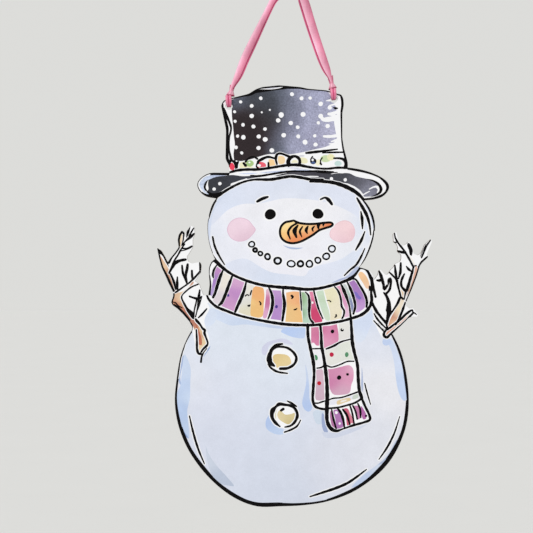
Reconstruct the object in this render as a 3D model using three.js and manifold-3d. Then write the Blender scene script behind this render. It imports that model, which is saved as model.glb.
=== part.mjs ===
// Snowman door hanger: a flat board cut to the outline of a snowman in a top hat,
// with a printed layer on its front, hung from one folded satin ribbon that is tied
// through two small holes at the top of the hat.
//
// Millimetres. +X is the snowman's left as seen from the front (the viewer's right),
// +Y goes from the front of the board to its back, and +Z is up. The origin is the
// point where the inside of the ribbon's bend rests on a hook. The outlines are drawn
// upright, on a base line at the foot of the body.

import * as THREE from 'three';
import { mergeVertices } from 'three/addons/utils/BufferGeometryUtils.js';
import Module from 'manifold-3d';

const wasm = await Module();
wasm.setup();

// ---- driving dimensions ----------------------------------------------------------

const BOARD_THICKNESS = 6;
const PRINT_THICKNESS = 0.3;
const HANG_DROP = 512.5;          // from the hook down to the drawing's base line
const CUT_RADIUS = 0.9;           // what the cutter leaves in the sharp corners of the arms
const CROWN_EASE = 2;             // how far before a corner of the crown its curve starts
const SCARF_EASE = 4;
const BRIM_EASE = 4;
const CURVE_STEP = 5;             // longest straight piece in a round stretch

const HOLE_RADIUS = 3.5;
const HOLE_FACETS = 32;
const LEFT_HOLE = [-59.5, 398.5];
const RIGHT_HOLE = [44.5, 405.5];
const EYE_RISE = 5.5;             // from a hole's centre up to the strip that carries the load

const RIBBON_WIDTH = 8;           // folded lengthwise in half
const RIBBON_THICKNESS = 2.4;
const HOOK_BEND = 16.5;           // radius of the ribbon's centre line over the hook
const FLAT_ON_HOOK = 3;           // the ribbon lies flat on the hook this far each way,
const TWIST_END = 19;             // and has turned to face the front by here
const SPAN_STEPS = 96;

const LOOP_INNER = 4.8;
const LOOP_OUTER = 6.4;
const LOOP_WIDTH = 4.4;
const LOOP_MOUTH = THREE.MathUtils.degToRad(28);   // half the gap that the knot fills
const LOOP_STEPS = 28;

const KNOT_HEIGHT = 5;
const KNOT_WIDTH = 8.4;
const KNOT_DEPTH = 7.2;
const KNOT_RADIUS = 7.4;          // from the strip's centre out to the knot's centre
const LEFT_LEAN = THREE.MathUtils.degToRad(12);    // each knot leans in along its leg
const RIGHT_LEAN = THREE.MathUtils.degToRad(-10);
const KNOT_SIDES = 18;
const KNOT_RINGS = 10;
const LEG_GAP = 0.3;              // between a knot and the foot of its leg
const LEG_START = KNOT_RADIUS + KNOT_HEIGHT / 2 + LEG_GAP;

const TAIL_LENGTH = 11;
const TAIL_WIDTH = 6;
const TAIL_THICKNESS = 0.8;
const TAIL_SETBACK = 0.9;         // behind the ribbon's back face where the tail leaves the knot
const TAIL_BACK_LEAN = THREE.MathUtils.degToRad(14);

// ---- outlines: [x, height above the drawing's base line] -------------------------

// The ball-shaped body, round all the way.
const BODY = [
  [-97, 175.5], [-106.5, 154.5], [-111.5, 128], [-113.3, 104], [-109.3, 80],
  [-98.5, 55], [-79, 29.5], [-55, 10.3], [-32, 1.4], [-8, 1.4], [15, 2.5],
  [39, 6.5], [68.5, 18.5], [98.5, 44], [115, 76.5], [119, 107.5],
  [113, 149], [103, 172], [82, 200], [0, 225], [-78, 200],
];

// The head, wider than it is high.
const HEAD = [
  [-73.5, 305.5], [-80, 288], [-80.8, 275], [-78.5, 260], [-70, 242], [-40, 224],
  [3, 217.5], [46, 223], [71, 240], [80.5, 256.5], [85.3, 274], [84, 289],
  [74.5, 305.5], [50, 322], [2, 328], [-50, 322],
];

// The scarf wrapped round the neck stands a little proud of head and body.
const SCARF = [
  [-60, 250], [-72, 248], [-77.5, 244], [-79.5, 238], [-79.5, 231], [-78.5, 221],
  [-80.5, 210.5], [-78, 200], [-40, 190], [40, 190], [80, 198], [85, 210],
  [85, 226.5], [82, 233], [79, 236], [71.5, 238.5], [60, 240],
];

// The hat's crown, a little crooked, with a sagging shoulder.
const CROWN = [
  [-59, 325], [-59.5, 340], [-63, 346], [-62.5, 375.5], [-67.5, 399.5], [-65.5, 403.5],
  [-62.5, 405.5], [-45.5, 409.6], [-40, 411], [-33, 415.5], [-27, 417.7], [-9.5, 419.5],
  [11.5, 417.7], [19, 416], [37, 414.5], [48.5, 411], [52, 410.3], [54, 406.5],
  [54.5, 400], [53, 392], [53, 367], [54.5, 357.5], [58.5, 342.5], [58, 325],
];

// The brim, a band that bends down at both ends.
const BRIM = [
  [-59, 332.5], [-78.5, 332.7], [-86, 329], [-91, 323.5], [-91, 318], [-87.5, 312.5],
  [-82, 308.7], [-72, 307.3], [-60, 305], [60, 303], [76, 305.5], [84, 306],
  [93, 308.5], [98, 313.5], [100, 318.5], [98, 323.5], [91.5, 328.5], [81.5, 333],
  [71, 336], [58, 338],
];

// Bare branches for arms. The board is left solid between the finer twigs.
const LEFT_ARM = [
  [-85, 211], [-87.5, 217.5], [-89, 222], [-93.5, 225], [-87.5, 233.5],
  [-87, 241], [-88.5, 244], [-96, 242.5], [-100, 244.5], [-101.5, 249], [-95.5, 258.5],
  [-95.5, 267], [-93.5, 271.5], [-94, 278.5], [-97.5, 280], [-101.5, 274.5],
  [-103.5, 268.5], [-104, 273.5], [-106.5, 275.3], [-109.5, 271], [-110.5, 266],
  [-109.5, 258.5], [-113, 253.5], [-118, 247.5], [-120.5, 243.5], [-123.5, 249.5],
  [-127, 255.5], [-131, 258], [-129, 248], [-126.5, 238.5], [-122.5, 230],
  [-119.5, 223], [-115, 214], [-115, 210], [-117, 204], [-115.5, 201],
  [-110.5, 197.5], [-105, 192], [-99, 185], [-96, 179.5], [-96, 174], [-70, 172],
  [-68, 211],
];

const RIGHT_ARM = [
  [70, 226.5], [85, 226.5], [88.5, 231.5], [89, 235.5], [91, 236.5], [93.5, 233.5],
  [96, 231], [98.5, 232], [100, 235], [104, 239], [105, 242], [110.5, 244.5],
  [111.5, 247.5], [111.5, 251], [107.5, 254.5], [108.5, 258], [106.5, 262.5],
  [104, 263.5], [103.5, 272], [106.5, 274], [108.5, 264.5], [113, 260], [116, 261.5],
  [119, 264.5], [123, 258], [123.5, 252.5], [127.5, 250.5], [131, 252.5], [135, 261.5],
  [141.5, 267], [142, 264], [136.5, 251], [139, 249.5], [132, 243], [130, 240],
  [127, 230], [122, 217], [117, 205.5], [116, 200.5], [119, 198], [123, 198.3],
  [128, 192], [127.5, 189.5], [123, 190], [119, 188.5], [111, 180.5], [103, 173],
  [90, 165], [70, 170],
];

// ---- from outlines to solids -----------------------------------------------------

// A closed curve through the points, for a stretch that has no corners.
function roundOutline(points) {
  const spline = new THREE.CatmullRomCurve3(
    points.map(([x, height]) => new THREE.Vector3(x, height, 0)), true, 'centripetal');
  const steps = Math.ceil(spline.getLength() / CURVE_STEP);
  return new THREE.Shape(spline.getSpacedPoints(steps).slice(0, -1)
    .map((point) => new THREE.Vector2(point.x, point.y)));
}

// Straight edges whose corners are eased by a curve that starts `radius` before them.
function cutOutline(points, radius) {
  const corners = points.map(([x, height]) => new THREE.Vector2(x, height));
  const shape = new THREE.Shape();
  corners.forEach((corner, index) => {
    const before = corners[(index + corners.length - 1) % corners.length];
    const after = corners[(index + 1) % corners.length];
    const ease = (other) => corner.clone().lerp(
      other, Math.min(0.4, radius / corner.distanceTo(other)));
    const start = ease(before);
    const end = ease(after);
    if (index === 0) shape.moveTo(start.x, start.y);
    else shape.lineTo(start.x, start.y);
    shape.quadraticCurveTo(corner.x, corner.y, end.x, end.y);
  });
  shape.closePath();
  return shape;
}

// Any closed geometry as a solid. Corners closer together than the tolerance are one.
function solidOf(geometry) {
  const tolerance = 1e-4;
  const bare = geometry.index ? geometry.toNonIndexed() : geometry;
  bare.deleteAttribute('normal');
  bare.deleteAttribute('uv');
  const merged = mergeVertices(bare, tolerance);
  return new wasm.Manifold(new wasm.Mesh({
    numProp: 3,
    vertProperties: merged.attributes.position.array,
    triVerts: new Uint32Array(merged.index.array),
  }));
}

function geometryOf(solid) {
  const mesh = solid.getMesh();
  const geometry = new THREE.BufferGeometry();
  geometry.setAttribute('position', new THREE.BufferAttribute(mesh.vertProperties, 3));
  geometry.setIndex(new THREE.BufferAttribute(mesh.triVerts, 1));
  geometry.computeVertexNormals();
  return geometry;
}

function slab(shape, depth, curveSegments = 2) {
  return solidOf(new THREE.ExtrudeGeometry(shape, { depth, curveSegments, bevelEnabled: false }));
}

// The whole silhouette as one plate lying on z = 0, with the two ribbon holes.
function silhouette(depth) {
  const plates = [
    roundOutline(BODY), roundOutline(HEAD),
    cutOutline(SCARF, SCARF_EASE), cutOutline(BRIM, BRIM_EASE), cutOutline(CROWN, CROWN_EASE),
    cutOutline(LEFT_ARM, CUT_RADIUS), cutOutline(RIGHT_ARM, CUT_RADIUS),
  ].map((shape) => slab(shape, depth));
  const whole = plates.reduce((sum, plate) => sum.add(plate));
  return [LEFT_HOLE, RIGHT_HOLE].reduce((plate, [x, height]) => {
    const hole = new THREE.CylinderGeometry(HOLE_RADIUS, HOLE_RADIUS, 4 * depth, HOLE_FACETS);
    hole.rotateX(Math.PI / 2);
    hole.translate(x, height, depth / 2);
    return plate.subtract(solidOf(hole));
  }, whole);
}

// ---- ribbon ----------------------------------------------------------------------

// A flat band's section, with its long edges rounded over: [through, across] pairs.
function bandSection(thickness, width) {
  const ease = Math.min(thickness, width) * 0.3;
  const [through, across] = [thickness / 2, width / 2];
  return [
    [through, across - ease], [through - ease, across], [ease - through, across],
    [-through, across - ease], [-through, ease - across], [ease - through, -across],
    [through - ease, -across], [through, ease - across],
  ];
}

// The section carried along the points. acrossAt(along, index) is the way its width runs.
function sweep(points, section, acrossAt) {
  const corners = points.flatMap((point, index) => {
    const ahead = points[Math.min(index + 1, points.length - 1)];
    const behind = points[Math.max(index - 1, 0)];
    const along = ahead.clone().sub(behind).normalize();
    const across = acrossAt(along, index);
    const through = new THREE.Vector3().crossVectors(across, along);
    return section.map(([t, a]) => point.clone()
      .addScaledVector(through, t).addScaledVector(across, a));
  });
  const sides = section.length;
  const faces = [];
  for (let ring = 0; ring < points.length - 1; ring += 1) {
    for (let side = 0; side < sides; side += 1) {
      const here = ring * sides;
      const next = (side + 1) % sides;
      faces.push(here + side, here + next, here + sides + side);
      faces.push(here + next, here + sides + next, here + sides + side);
    }
  }
  const last = (points.length - 1) * sides;
  for (let side = 1; side < sides - 1; side += 1) {
    faces.push(0, side + 1, side);
    faces.push(last, last + side, last + side + 1);
  }
  const geometry = new THREE.BufferGeometry().setFromPoints(corners);
  geometry.setIndex(faces);
  return geometryOf(solidOf(geometry));
}

function eyeOf([x, height]) {
  return new THREE.Vector3(x, 0, height + EYE_RISE - HANG_DROP);
}

const leftEye = eyeOf(LEFT_HOLE);
const rightEye = eyeOf(RIGHT_HOLE);
const tilt = Math.atan2(rightEye.z - leftEye.z, rightEye.x - leftEye.x);

// A point that lies `radius` out from the eye, leaning from the vertical by `lean`.
function outFrom(eye, lean, radius) {
  return new THREE.Vector3(
    eye.x + radius * Math.sin(lean), 0, eye.z + radius * Math.cos(lean));
}

// Both legs and the bend over the hook: straight lines tangent to the bend's arc.
function spanPoints() {
  const centre = new THREE.Vector2(0, RIBBON_THICKNESS / 2 - HOOK_BEND);
  const [left, right] = [[leftEye, LEFT_LEAN], [rightEye, RIGHT_LEAN]].map(([eye, lean]) => {
    const end = outFrom(eye, lean, LEG_START);
    return new THREE.Vector2(end.x, end.z);
  });
  const tangentAngle = (end, side) => {
    const reach = end.clone().sub(centre);
    return reach.angle() - side * Math.acos(HOOK_BEND / reach.length());
  };
  const bend = new THREE.ArcCurve(
    centre.x, centre.y, HOOK_BEND, tangentAngle(left, 1), tangentAngle(right, -1), true);
  const path = new THREE.CurvePath();
  path.add(new THREE.LineCurve(left, bend.getPoint(0)));
  path.add(bend);
  path.add(new THREE.LineCurve(bend.getPoint(1), right));
  return path.getSpacedPoints(SPAN_STEPS).map((point) => new THREE.Vector3(point.x, 0, point.y));
}

// The span's width lies in the board's plane on its legs and along Y on the hook.
function ribbonSpan() {
  const points = spanPoints();
  const top = points.reduce((best, point, index) => (point.z > points[best].z ? index : best), 0);
  const step = points[0].distanceTo(points[1]);
  return sweep(points, bandSection(RIBBON_THICKNESS, RIBBON_WIDTH), (along, index) => {
    const fromTop = Math.abs(index - top) * step;
    const turn = (Math.PI / 2) * (1 - THREE.MathUtils.smoothstep(fromTop, FLAT_ON_HOOK, TWIST_END));
    const inPlane = new THREE.Vector3(along.z, 0, -along.x);
    return inPlane.multiplyScalar(Math.cos(turn)).add(new THREE.Vector3(0, Math.sin(turn), 0));
  });
}

// The strand that goes through the hole and round the strip, open where the knot sits.
function loopPoints() {
  const middle = (LOOP_INNER + LOOP_OUTER) / 2;
  const ring = new THREE.Path();
  ring.absarc(0, 0, middle, Math.PI / 2 - LOOP_MOUTH, LOOP_MOUTH - 1.5 * Math.PI, true);
  return ring.getSpacedPoints(LOOP_STEPS).map((point) => new THREE.Vector3(0, point.x, point.y));
}

function ribbonLoop() {
  const section = bandSection(LOOP_OUTER - LOOP_INNER, LOOP_WIDTH);
  return sweep(loopPoints(), section, () => new THREE.Vector3(1, 0, 0));
}

// The knot, with its trimmed end standing up behind the leg.
function ribbonKnot() {
  const ball = new THREE.SphereGeometry(1, KNOT_SIDES, KNOT_RINGS);
  ball.scale(KNOT_WIDTH / 2, KNOT_DEPTH / 2, KNOT_HEIGHT / 2);
  const tail = new THREE.BoxGeometry(TAIL_WIDTH, TAIL_THICKNESS, TAIL_LENGTH);
  tail.rotateX(-TAIL_BACK_LEAN);
  const footY = RIBBON_THICKNESS / 2 + TAIL_SETBACK;
  const halfRun = (TAIL_LENGTH / 2) * Math.sin(TAIL_BACK_LEAN);
  tail.translate(0, footY + halfRun, (TAIL_LENGTH / 2) * Math.cos(TAIL_BACK_LEAN));
  return geometryOf(solidOf(ball).add(solidOf(tail)));
}

// ---- assembly --------------------------------------------------------------------

const wood = new THREE.MeshStandardMaterial({ color: 0xc39a6b, roughness: 0.8, metalness: 0 });
const print = new THREE.MeshStandardMaterial({ color: 0xe2e5f2, roughness: 0.4, metalness: 0 });
const satin = new THREE.MeshStandardMaterial({ color: 0xeb8cab, roughness: 0.45, metalness: 0 });

function named(name, geometry, material) {
  const mesh = new THREE.Mesh(geometry, material);
  mesh.name = name;
  return mesh;
}

const hanger = new THREE.Group();

// The panel is drawn lying down and stood up: its drawing's depth runs towards the front.
const panel = new THREE.Group();
panel.rotation.x = Math.PI / 2;
panel.position.set(0, (BOARD_THICKNESS + PRINT_THICKNESS) / 2, -HANG_DROP);
panel.add(named('board', geometryOf(silhouette(BOARD_THICKNESS)), wood));
const printedFace = named('printed_face', geometryOf(silhouette(PRINT_THICKNESS)), print);
printedFace.position.z = BOARD_THICKNESS;
panel.add(printedFace);
hanger.add(panel);

hanger.add(named('ribbon_span', ribbonSpan(), satin));

for (const [side, eye, lean] of [['left', leftEye, LEFT_LEAN], ['right', rightEye, RIGHT_LEAN]]) {
  const loop = named(`${side}_loop`, ribbonLoop(), satin);
  loop.position.copy(eye);
  loop.rotation.y = -tilt;
  hanger.add(loop);
  const knot = named(`${side}_knot`, ribbonKnot(), satin);
  knot.position.copy(outFrom(eye, lean, KNOT_RADIUS));
  knot.rotation.y = lean;
  hanger.add(knot);
}

export default hanger;
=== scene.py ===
"""The looks of a flat printed snowman that hangs from a folded satin ribbon.

Everything is in metres in the row frame, except the artwork. That is drawn in
millimetres as (x, h): x is to the viewer's right of the hook, and h is the height
above the drawing's base line at the snowman's foot.
"""

import math

import bpy
import numpy as np
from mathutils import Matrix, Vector
from mathutils.geometry import delaunay_2d_cdt


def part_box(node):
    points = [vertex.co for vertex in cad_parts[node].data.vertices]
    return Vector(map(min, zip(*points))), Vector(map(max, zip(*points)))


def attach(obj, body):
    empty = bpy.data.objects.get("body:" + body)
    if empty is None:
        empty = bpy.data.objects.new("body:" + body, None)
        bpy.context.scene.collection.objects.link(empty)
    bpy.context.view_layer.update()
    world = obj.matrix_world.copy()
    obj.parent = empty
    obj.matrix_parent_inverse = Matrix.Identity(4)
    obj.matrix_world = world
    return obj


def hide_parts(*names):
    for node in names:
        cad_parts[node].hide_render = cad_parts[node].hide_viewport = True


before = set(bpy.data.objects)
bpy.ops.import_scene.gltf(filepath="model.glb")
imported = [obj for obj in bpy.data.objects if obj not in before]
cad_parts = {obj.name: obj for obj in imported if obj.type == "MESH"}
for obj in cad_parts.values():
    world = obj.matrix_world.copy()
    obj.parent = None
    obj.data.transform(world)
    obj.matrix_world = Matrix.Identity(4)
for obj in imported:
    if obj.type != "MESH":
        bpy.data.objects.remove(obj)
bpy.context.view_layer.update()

MM = 0.001
BASE_LINE = -0.5125  # the drawing's base line in the row frame

# ---- camera: straight on, level with the middle of the picture --------------------

LENS = 102.0
SENSOR = 36.0
VIEW_WIDTH = 0.5293  # how much of the board's plane the frame takes in
VIEW_CENTRE = (-0.0223, -0.273)


def make_camera():
    camera = bpy.data.objects.new("camera", bpy.data.cameras.new("camera"))
    camera.data.lens = LENS
    camera.data.sensor_width = SENSOR
    camera.data.clip_start = 0.01
    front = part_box("printed_face")[0].y
    distance = VIEW_WIDTH * LENS / SENSOR
    camera.location = (VIEW_CENTRE[0], front - distance, VIEW_CENTRE[1])
    camera.rotation_euler = (math.pi / 2, 0, 0)
    bpy.context.scene.collection.objects.link(camera)
    bpy.context.scene.camera = camera


make_camera()

# ---- drawing tools ---------------------------------------------------------------

CURVE_STEP = 1.6  # longest straight piece in a drawn curve, mm
NIB = 1.4  # how much wider than drawn the black lines are printed
HALO = 0.5  # bare white left round a line where it crosses colour, mm
WASH, MARGIN, LINE, LIGHT = range(4)  # the order in which shapes cover each other
BARE = "print_bare"

shapes = []  # (layer, piece, outline, paint)


def smooth(points, closed=False, step=CURVE_STEP):
    """A smooth curve through the points. A third number, such as a width, goes along."""
    p = np.array(points, float)
    if closed:
        p = np.vstack([p[-1], p, p[:2]])
    else:
        p = np.vstack([2 * p[0] - p[1], p, 2 * p[-1] - p[-2]])
    gaps = np.sqrt(np.linalg.norm(np.diff(p[:, :2], axis=0), axis=1)) + 1e-9
    parts = []
    for i in range(1, len(p) - 2):
        a, b, c, d = p[i - 1 : i + 3]
        g0, g1, g2 = gaps[i - 1 : i + 2]
        leave = g1 * ((b - a) / g0 - (c - a) / (g0 + g1) + (c - b) / g1)
        arrive = g1 * ((c - b) / g1 - (d - b) / (g1 + g2) + (d - c) / g2)
        count = max(2, math.ceil(np.linalg.norm(c[:2] - b[:2]) / step))
        t = np.arange(count)[:, None] / count
        parts.append(
            (2 * t**3 - 3 * t**2 + 1) * b
            + (t**3 - 2 * t**2 + t) * leave
            + (3 * t**2 - 2 * t**3) * c
            + (t**3 - t**2) * arrive
        )
    line = np.vstack(parts)
    return line if closed else np.vstack([line, p[-2]])


def outline(points):
    """A closed outline through (x, h) points. A corner has 0 as its third number."""
    flat = [tuple(point[:2]) for point in points]
    corners = [i for i, point in enumerate(points) if len(point) == 3]
    if not corners:
        return smooth(flat, closed=True)
    flat.append(flat[0])
    parts = []
    for start, end in zip(corners, corners[1:] + [len(points)]):
        run = flat[start : end + 1]
        parts.append(smooth(run)[:-1] if len(run) > 2 else np.array(run[:1], float))
    return np.vstack(parts)


def oval(x, h, rx, ry=None, tilt=0.0, lumps=0.04):
    """A slightly lumpy oval, as a brush would leave it."""
    ry = rx if ry is None else ry
    count = max(12, math.ceil(2 * math.pi * max(rx, ry) / CURVE_STEP))
    a = np.arange(count) * 2 * math.pi / count
    r = 1 + lumps * np.sin(2 * a + x) + 0.6 * lumps * np.sin(3 * a + h)
    c, s = math.cos(math.radians(tilt)), math.sin(math.radians(tilt))
    u, v = r * rx * np.cos(a), r * ry * np.sin(a)
    return np.column_stack([x + c * u - s * v, h + s * u + c * v])


def normals(line):
    along = np.gradient(line[:, :2], axis=0)
    along /= np.linalg.norm(along, axis=1)[:, None] + 1e-9
    return np.column_stack([-along[:, 1], along[:, 0]])


def ribbon_of(points, extra=0.0):
    """The outline of a brush line through (x, h, width) points, with rounded ends."""
    line = smooth(points)
    half = np.maximum(line[:, 2], 0.15) / 2
    wander = 0.07 * np.sin(np.arange(len(line)) * 1.3 + line[0, 0])
    half = half * (1 + wander) + extra
    n = normals(line)
    left = line[:, :2] + n * half[:, None]
    right = line[:, :2] - n * half[:, None]
    caps = []
    for end, sign in ((-1, 1), (0, -1)):
        forward = sign * np.array([n[end, 1], -n[end, 0]])
        turn = np.radians([60, 20, -20, -60]) * sign
        side = n[end]
        caps.append(
            line[end, :2]
            + half[end] * (np.cos(turn)[:, None] * forward + np.sin(turn)[:, None] * side)
        )
    return np.vstack([left, caps[0], right[::-1], caps[1]])


def add_shape(layer, piece, shape, paint=None):
    """A shape is an array, or a list of points to draw an outline through."""
    shape = outline(shape) if isinstance(shape, list) else shape
    shapes.append((layer, piece, shape, paint))


def wash(piece, shape, paint):
    """Colour: one (r, g, b) from 0 to 255, or a function of (x, h) points."""
    add_shape(WASH, piece, shape, paint)


def bare(shape, layer=WASH):
    add_shape(layer, BARE, shape)


def ink(piece, *points, halo=HALO):
    """A black brush line through (x, h, width) points, with a bare margin round it."""
    points = [(x, h, width * NIB) for x, h, width in points]
    if halo:
        bare(ribbon_of(points, halo), MARGIN)
    add_shape(LINE, piece, ribbon_of(points))


def blot(piece, shape, halo=0.0):
    """A filled black shape."""
    shape = outline(shape) if isinstance(shape, list) else shape
    if halo:
        centre = shape.mean(axis=0)
        away = shape - centre
        reach = np.linalg.norm(away, axis=1)[:, None]
        bare(centre + away * (reach + halo) / reach, MARGIN)
    add_shape(LINE, piece, shape)


def dab(piece, shape, paint):
    """Colour laid over the black lines."""
    add_shape(LIGHT, piece, shape, paint)


def pools(*spots):
    """A colour that runs between pools of pigment, each (x, h, reach, (r, g, b))."""
    centre = np.array([s[:2] for s in spots], float)
    reach = np.array([s[2] for s in spots], float)
    tint = np.array([s[3] for s in spots], float)

    def paint(points):
        gap = np.linalg.norm(points[:, None, :] - centre[None], axis=2)
        weight = np.exp(-((gap / reach) ** 2)) + 1e-9 / (1 + gap)
        return weight @ tint / weight.sum(axis=1)[:, None]

    return paint


# ---- the board's own outline ------------------------------------------------------


def board_loops():
    """The edge of the printed face and of its two holes, as (x, h) loops, longest first."""
    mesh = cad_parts["printed_face"].data
    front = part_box("printed_face")[0].y
    edges = {}
    for face in mesh.polygons:
        corners = [mesh.vertices[i].co for i in face.vertices]
        if max(c.y for c in corners) > front + 1e-5:
            continue
        keys = [(round(c.x / MM, 3), round((c.z - BASE_LINE) / MM, 3)) for c in corners]
        for a, b in zip(keys, keys[1:] + keys[:1]):
            if (b, a) in edges:
                del edges[(b, a)]
            else:
                edges[(a, b)] = True
    after = dict(edges.keys())
    loops = []
    while after:
        loop = [next(iter(after))]
        while loop[-1] in after:
            loop.append(after.pop(loop[-1]))
        loops.append(np.array(loop[:-1]))
    return sorted(loops, key=len, reverse=True)


def signed_area(loop):
    x, h = loop[:, 0], loop[:, 1]
    return 0.5 * float(np.sum(x * np.roll(h, -1) - h * np.roll(x, -1)))


board_edge, *board_holes = board_loops()
if signed_area(board_edge) > 0:
    board_edge = board_edge[::-1]  # clockwise as seen from the front


OVERLAP = 0.5  # how far a rim reaches past the edge, mm


def rim(piece, start, end, *widths):
    """A black line along the board's edge, clockwise from near start to near end.
    The widths are spread evenly along it."""
    first = int(np.argmin(np.linalg.norm(board_edge - start, axis=1)))
    last = int(np.argmin(np.linalg.norm(board_edge - end, axis=1)))
    count = (last - first) % len(board_edge)
    edge = board_edge[(first + np.arange(count + 1)) % len(board_edge)]
    run = np.concatenate([[0], np.cumsum(np.linalg.norm(np.diff(edge, axis=0), axis=1))])
    width = np.interp(run / run[-1], np.linspace(0, 1, len(widths)), widths)
    width *= NIB * (1 + 0.08 * np.sin(run / 7))
    inward = -normals(edge)
    soft = inward.copy()
    for _ in range(2):
        soft[1:-1] = (soft[:-2] + 2 * soft[1:-1] + soft[2:]) / 4
    inner = edge + soft * width[:, None]
    add_shape(LINE, piece, np.vstack([edge - soft * OVERLAP, inner[::-1]]))


# ---- from the drawing to thin solid pieces ---------------------------------------

GRID = 4.0  # spacing of the extra points that carry colour changes, mm
INK_RISE = 0.04 * MM
WHITE = (250, 250, 253)


def inside(points, loop):
    """Which points are inside a closed loop, by winding number."""
    found = np.zeros(len(points), int)
    low, high = loop.min(axis=0), loop.max(axis=0)
    near = np.where(((points >= low) & (points <= high)).all(axis=1))[0]
    if not len(near):
        return found.astype(bool)
    x, h = points[near, 0][:, None], points[near, 1][:, None]
    a, b = loop, np.roll(loop, -1, axis=0)
    side = (b[:, 0] - a[:, 0]) * (h - a[:, 1]) - (x - a[:, 0]) * (b[:, 1] - a[:, 1])
    up = (a[:, 1] <= h) & (b[:, 1] > h) & (side > 0)
    down = (a[:, 1] > h) & (b[:, 1] <= h) & (side < 0)
    found[near] = up.sum(axis=1) - down.sum(axis=1)
    return found != 0


def to_linear(colour):
    c = np.clip(np.asarray(colour, float) / 255, 0, 1)
    return np.where(c <= 0.04045, c / 12.92, ((c + 0.055) / 1.055) ** 2.4)


def arrange():
    """Cuts the board's face along every outline. Returns points, triangles and each one's shape."""
    order = sorted(range(len(shapes)), key=lambda i: (shapes[i][0], i))
    loops = [board_edge, *board_holes] + [shapes[i][2] for i in order]
    spots = []
    low, high = board_edge.min(axis=0), board_edge.max(axis=0)
    for row, h in enumerate(np.arange(low[1], high[1], GRID * 0.87)):
        for x in np.arange(low[0] + GRID / 2 * (row % 2), high[0], GRID):
            spots.append((x, h))
    spots = np.array(spots)
    spots = spots[inside(spots, board_edge)]
    starts = np.cumsum([0] + [len(loop) for loop in loops])
    corners = np.vstack(loops + [spots])
    edges = []
    for start, loop in zip(starts, loops):
        edges += [(start + i, start + (i + 1) % len(loop)) for i in range(len(loop))]
    points, _, faces, *_ = delaunay_2d_cdt(
        [Vector(c) for c in corners], [(int(a), int(b)) for a, b in edges], [], 0, 1e-4, False
    )
    points = np.array([tuple(p) for p in points])
    faces = np.array([tuple(f) for f in faces])
    middle = points[faces].mean(axis=1)
    keep = inside(middle, board_edge)
    for hole in board_holes:
        keep &= ~inside(middle, hole)
    faces, middle = faces[keep], middle[keep]
    owner = np.full(len(faces), -1)
    for i in order:
        owner[inside(middle, shapes[i][2])] = i
    return points, faces, owner


def slab(name, points, faces, owner, front, back):
    """A thin closed solid from some of the triangles, with its colours on its corners."""
    used, flat = np.unique(faces, return_inverse=True)
    flat = flat.reshape(faces.shape)
    a, b, c = (points[used][flat[:, k]] for k in range(3))
    turned = (b[:, 0] - a[:, 0]) * (c[:, 1] - a[:, 1]) < (c[:, 0] - a[:, 0]) * (b[:, 1] - a[:, 1])
    flat[turned] = flat[turned][:, ::-1]
    count = len(used)
    x, z = points[used, 0] * MM, points[used, 1] * MM + BASE_LINE
    corners = np.vstack(
        [np.column_stack([x, np.full(count, y), z]) for y in (front, back)]
    )
    sides = {}
    for face, (p, q, r) in enumerate(flat):
        for edge in ((p, q), (q, r), (r, p)):
            if (edge[1], edge[0]) in sides:
                del sides[(edge[1], edge[0])]
            else:
                sides[edge] = face
    solid = [tuple(f) for f in flat]
    solid += [tuple(f[::-1] + count) for f in flat]
    solid += [(q, p, p + count, q + count) for p, q in sides]
    source = list(range(len(flat))) * 2 + list(sides.values())
    mesh = bpy.data.meshes.new(name)
    mesh.from_pydata([tuple(v) for v in corners], [], solid)
    mesh.update()
    pigment = mesh.color_attributes.new("pigment", "FLOAT_COLOR", "CORNER")
    loops = np.array([(k, source[f.index]) for f in mesh.polygons for k in f.loop_indices])
    vertex = np.zeros(len(mesh.loops), int)
    mesh.loops.foreach_get("vertex_index", vertex)
    place = points[used][vertex % count]
    tint = np.tile(to_linear(WHITE), (len(vertex), 1))
    shape_of = owner[loops[:, 1]]
    for i in np.unique(shape_of):
        paint = shapes[i][3] if i >= 0 else None
        if paint is None:
            continue
        rows = shape_of == i
        tint[rows] = to_linear(paint(place[rows]) if callable(paint) else paint)
    full = np.column_stack([tint, np.ones(len(tint))]).astype(np.float32)
    pigment.data.foreach_set("color", full.ravel())
    piece = bpy.data.objects.new(name, mesh)
    bpy.context.scene.collection.objects.link(piece)
    return piece


def print_pieces():
    """One thin solid for each named piece of the drawing."""
    points, faces, owner = arrange()
    names = np.array([BARE if i < 0 else shapes[i][1] for i in owner])
    front, back = (corner.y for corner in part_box("printed_face"))
    pieces = {}
    for name in sorted(set(names)):
        rows = names == name
        rise = INK_RISE if name.startswith("ink") else 0.0
        pieces[name] = slab(name, points, faces[rows], owner[rows], front - rise, back)
        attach(pieces[name], "board")
    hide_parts("printed_face")
    return pieces


# ---- materials -------------------------------------------------------------------


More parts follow.
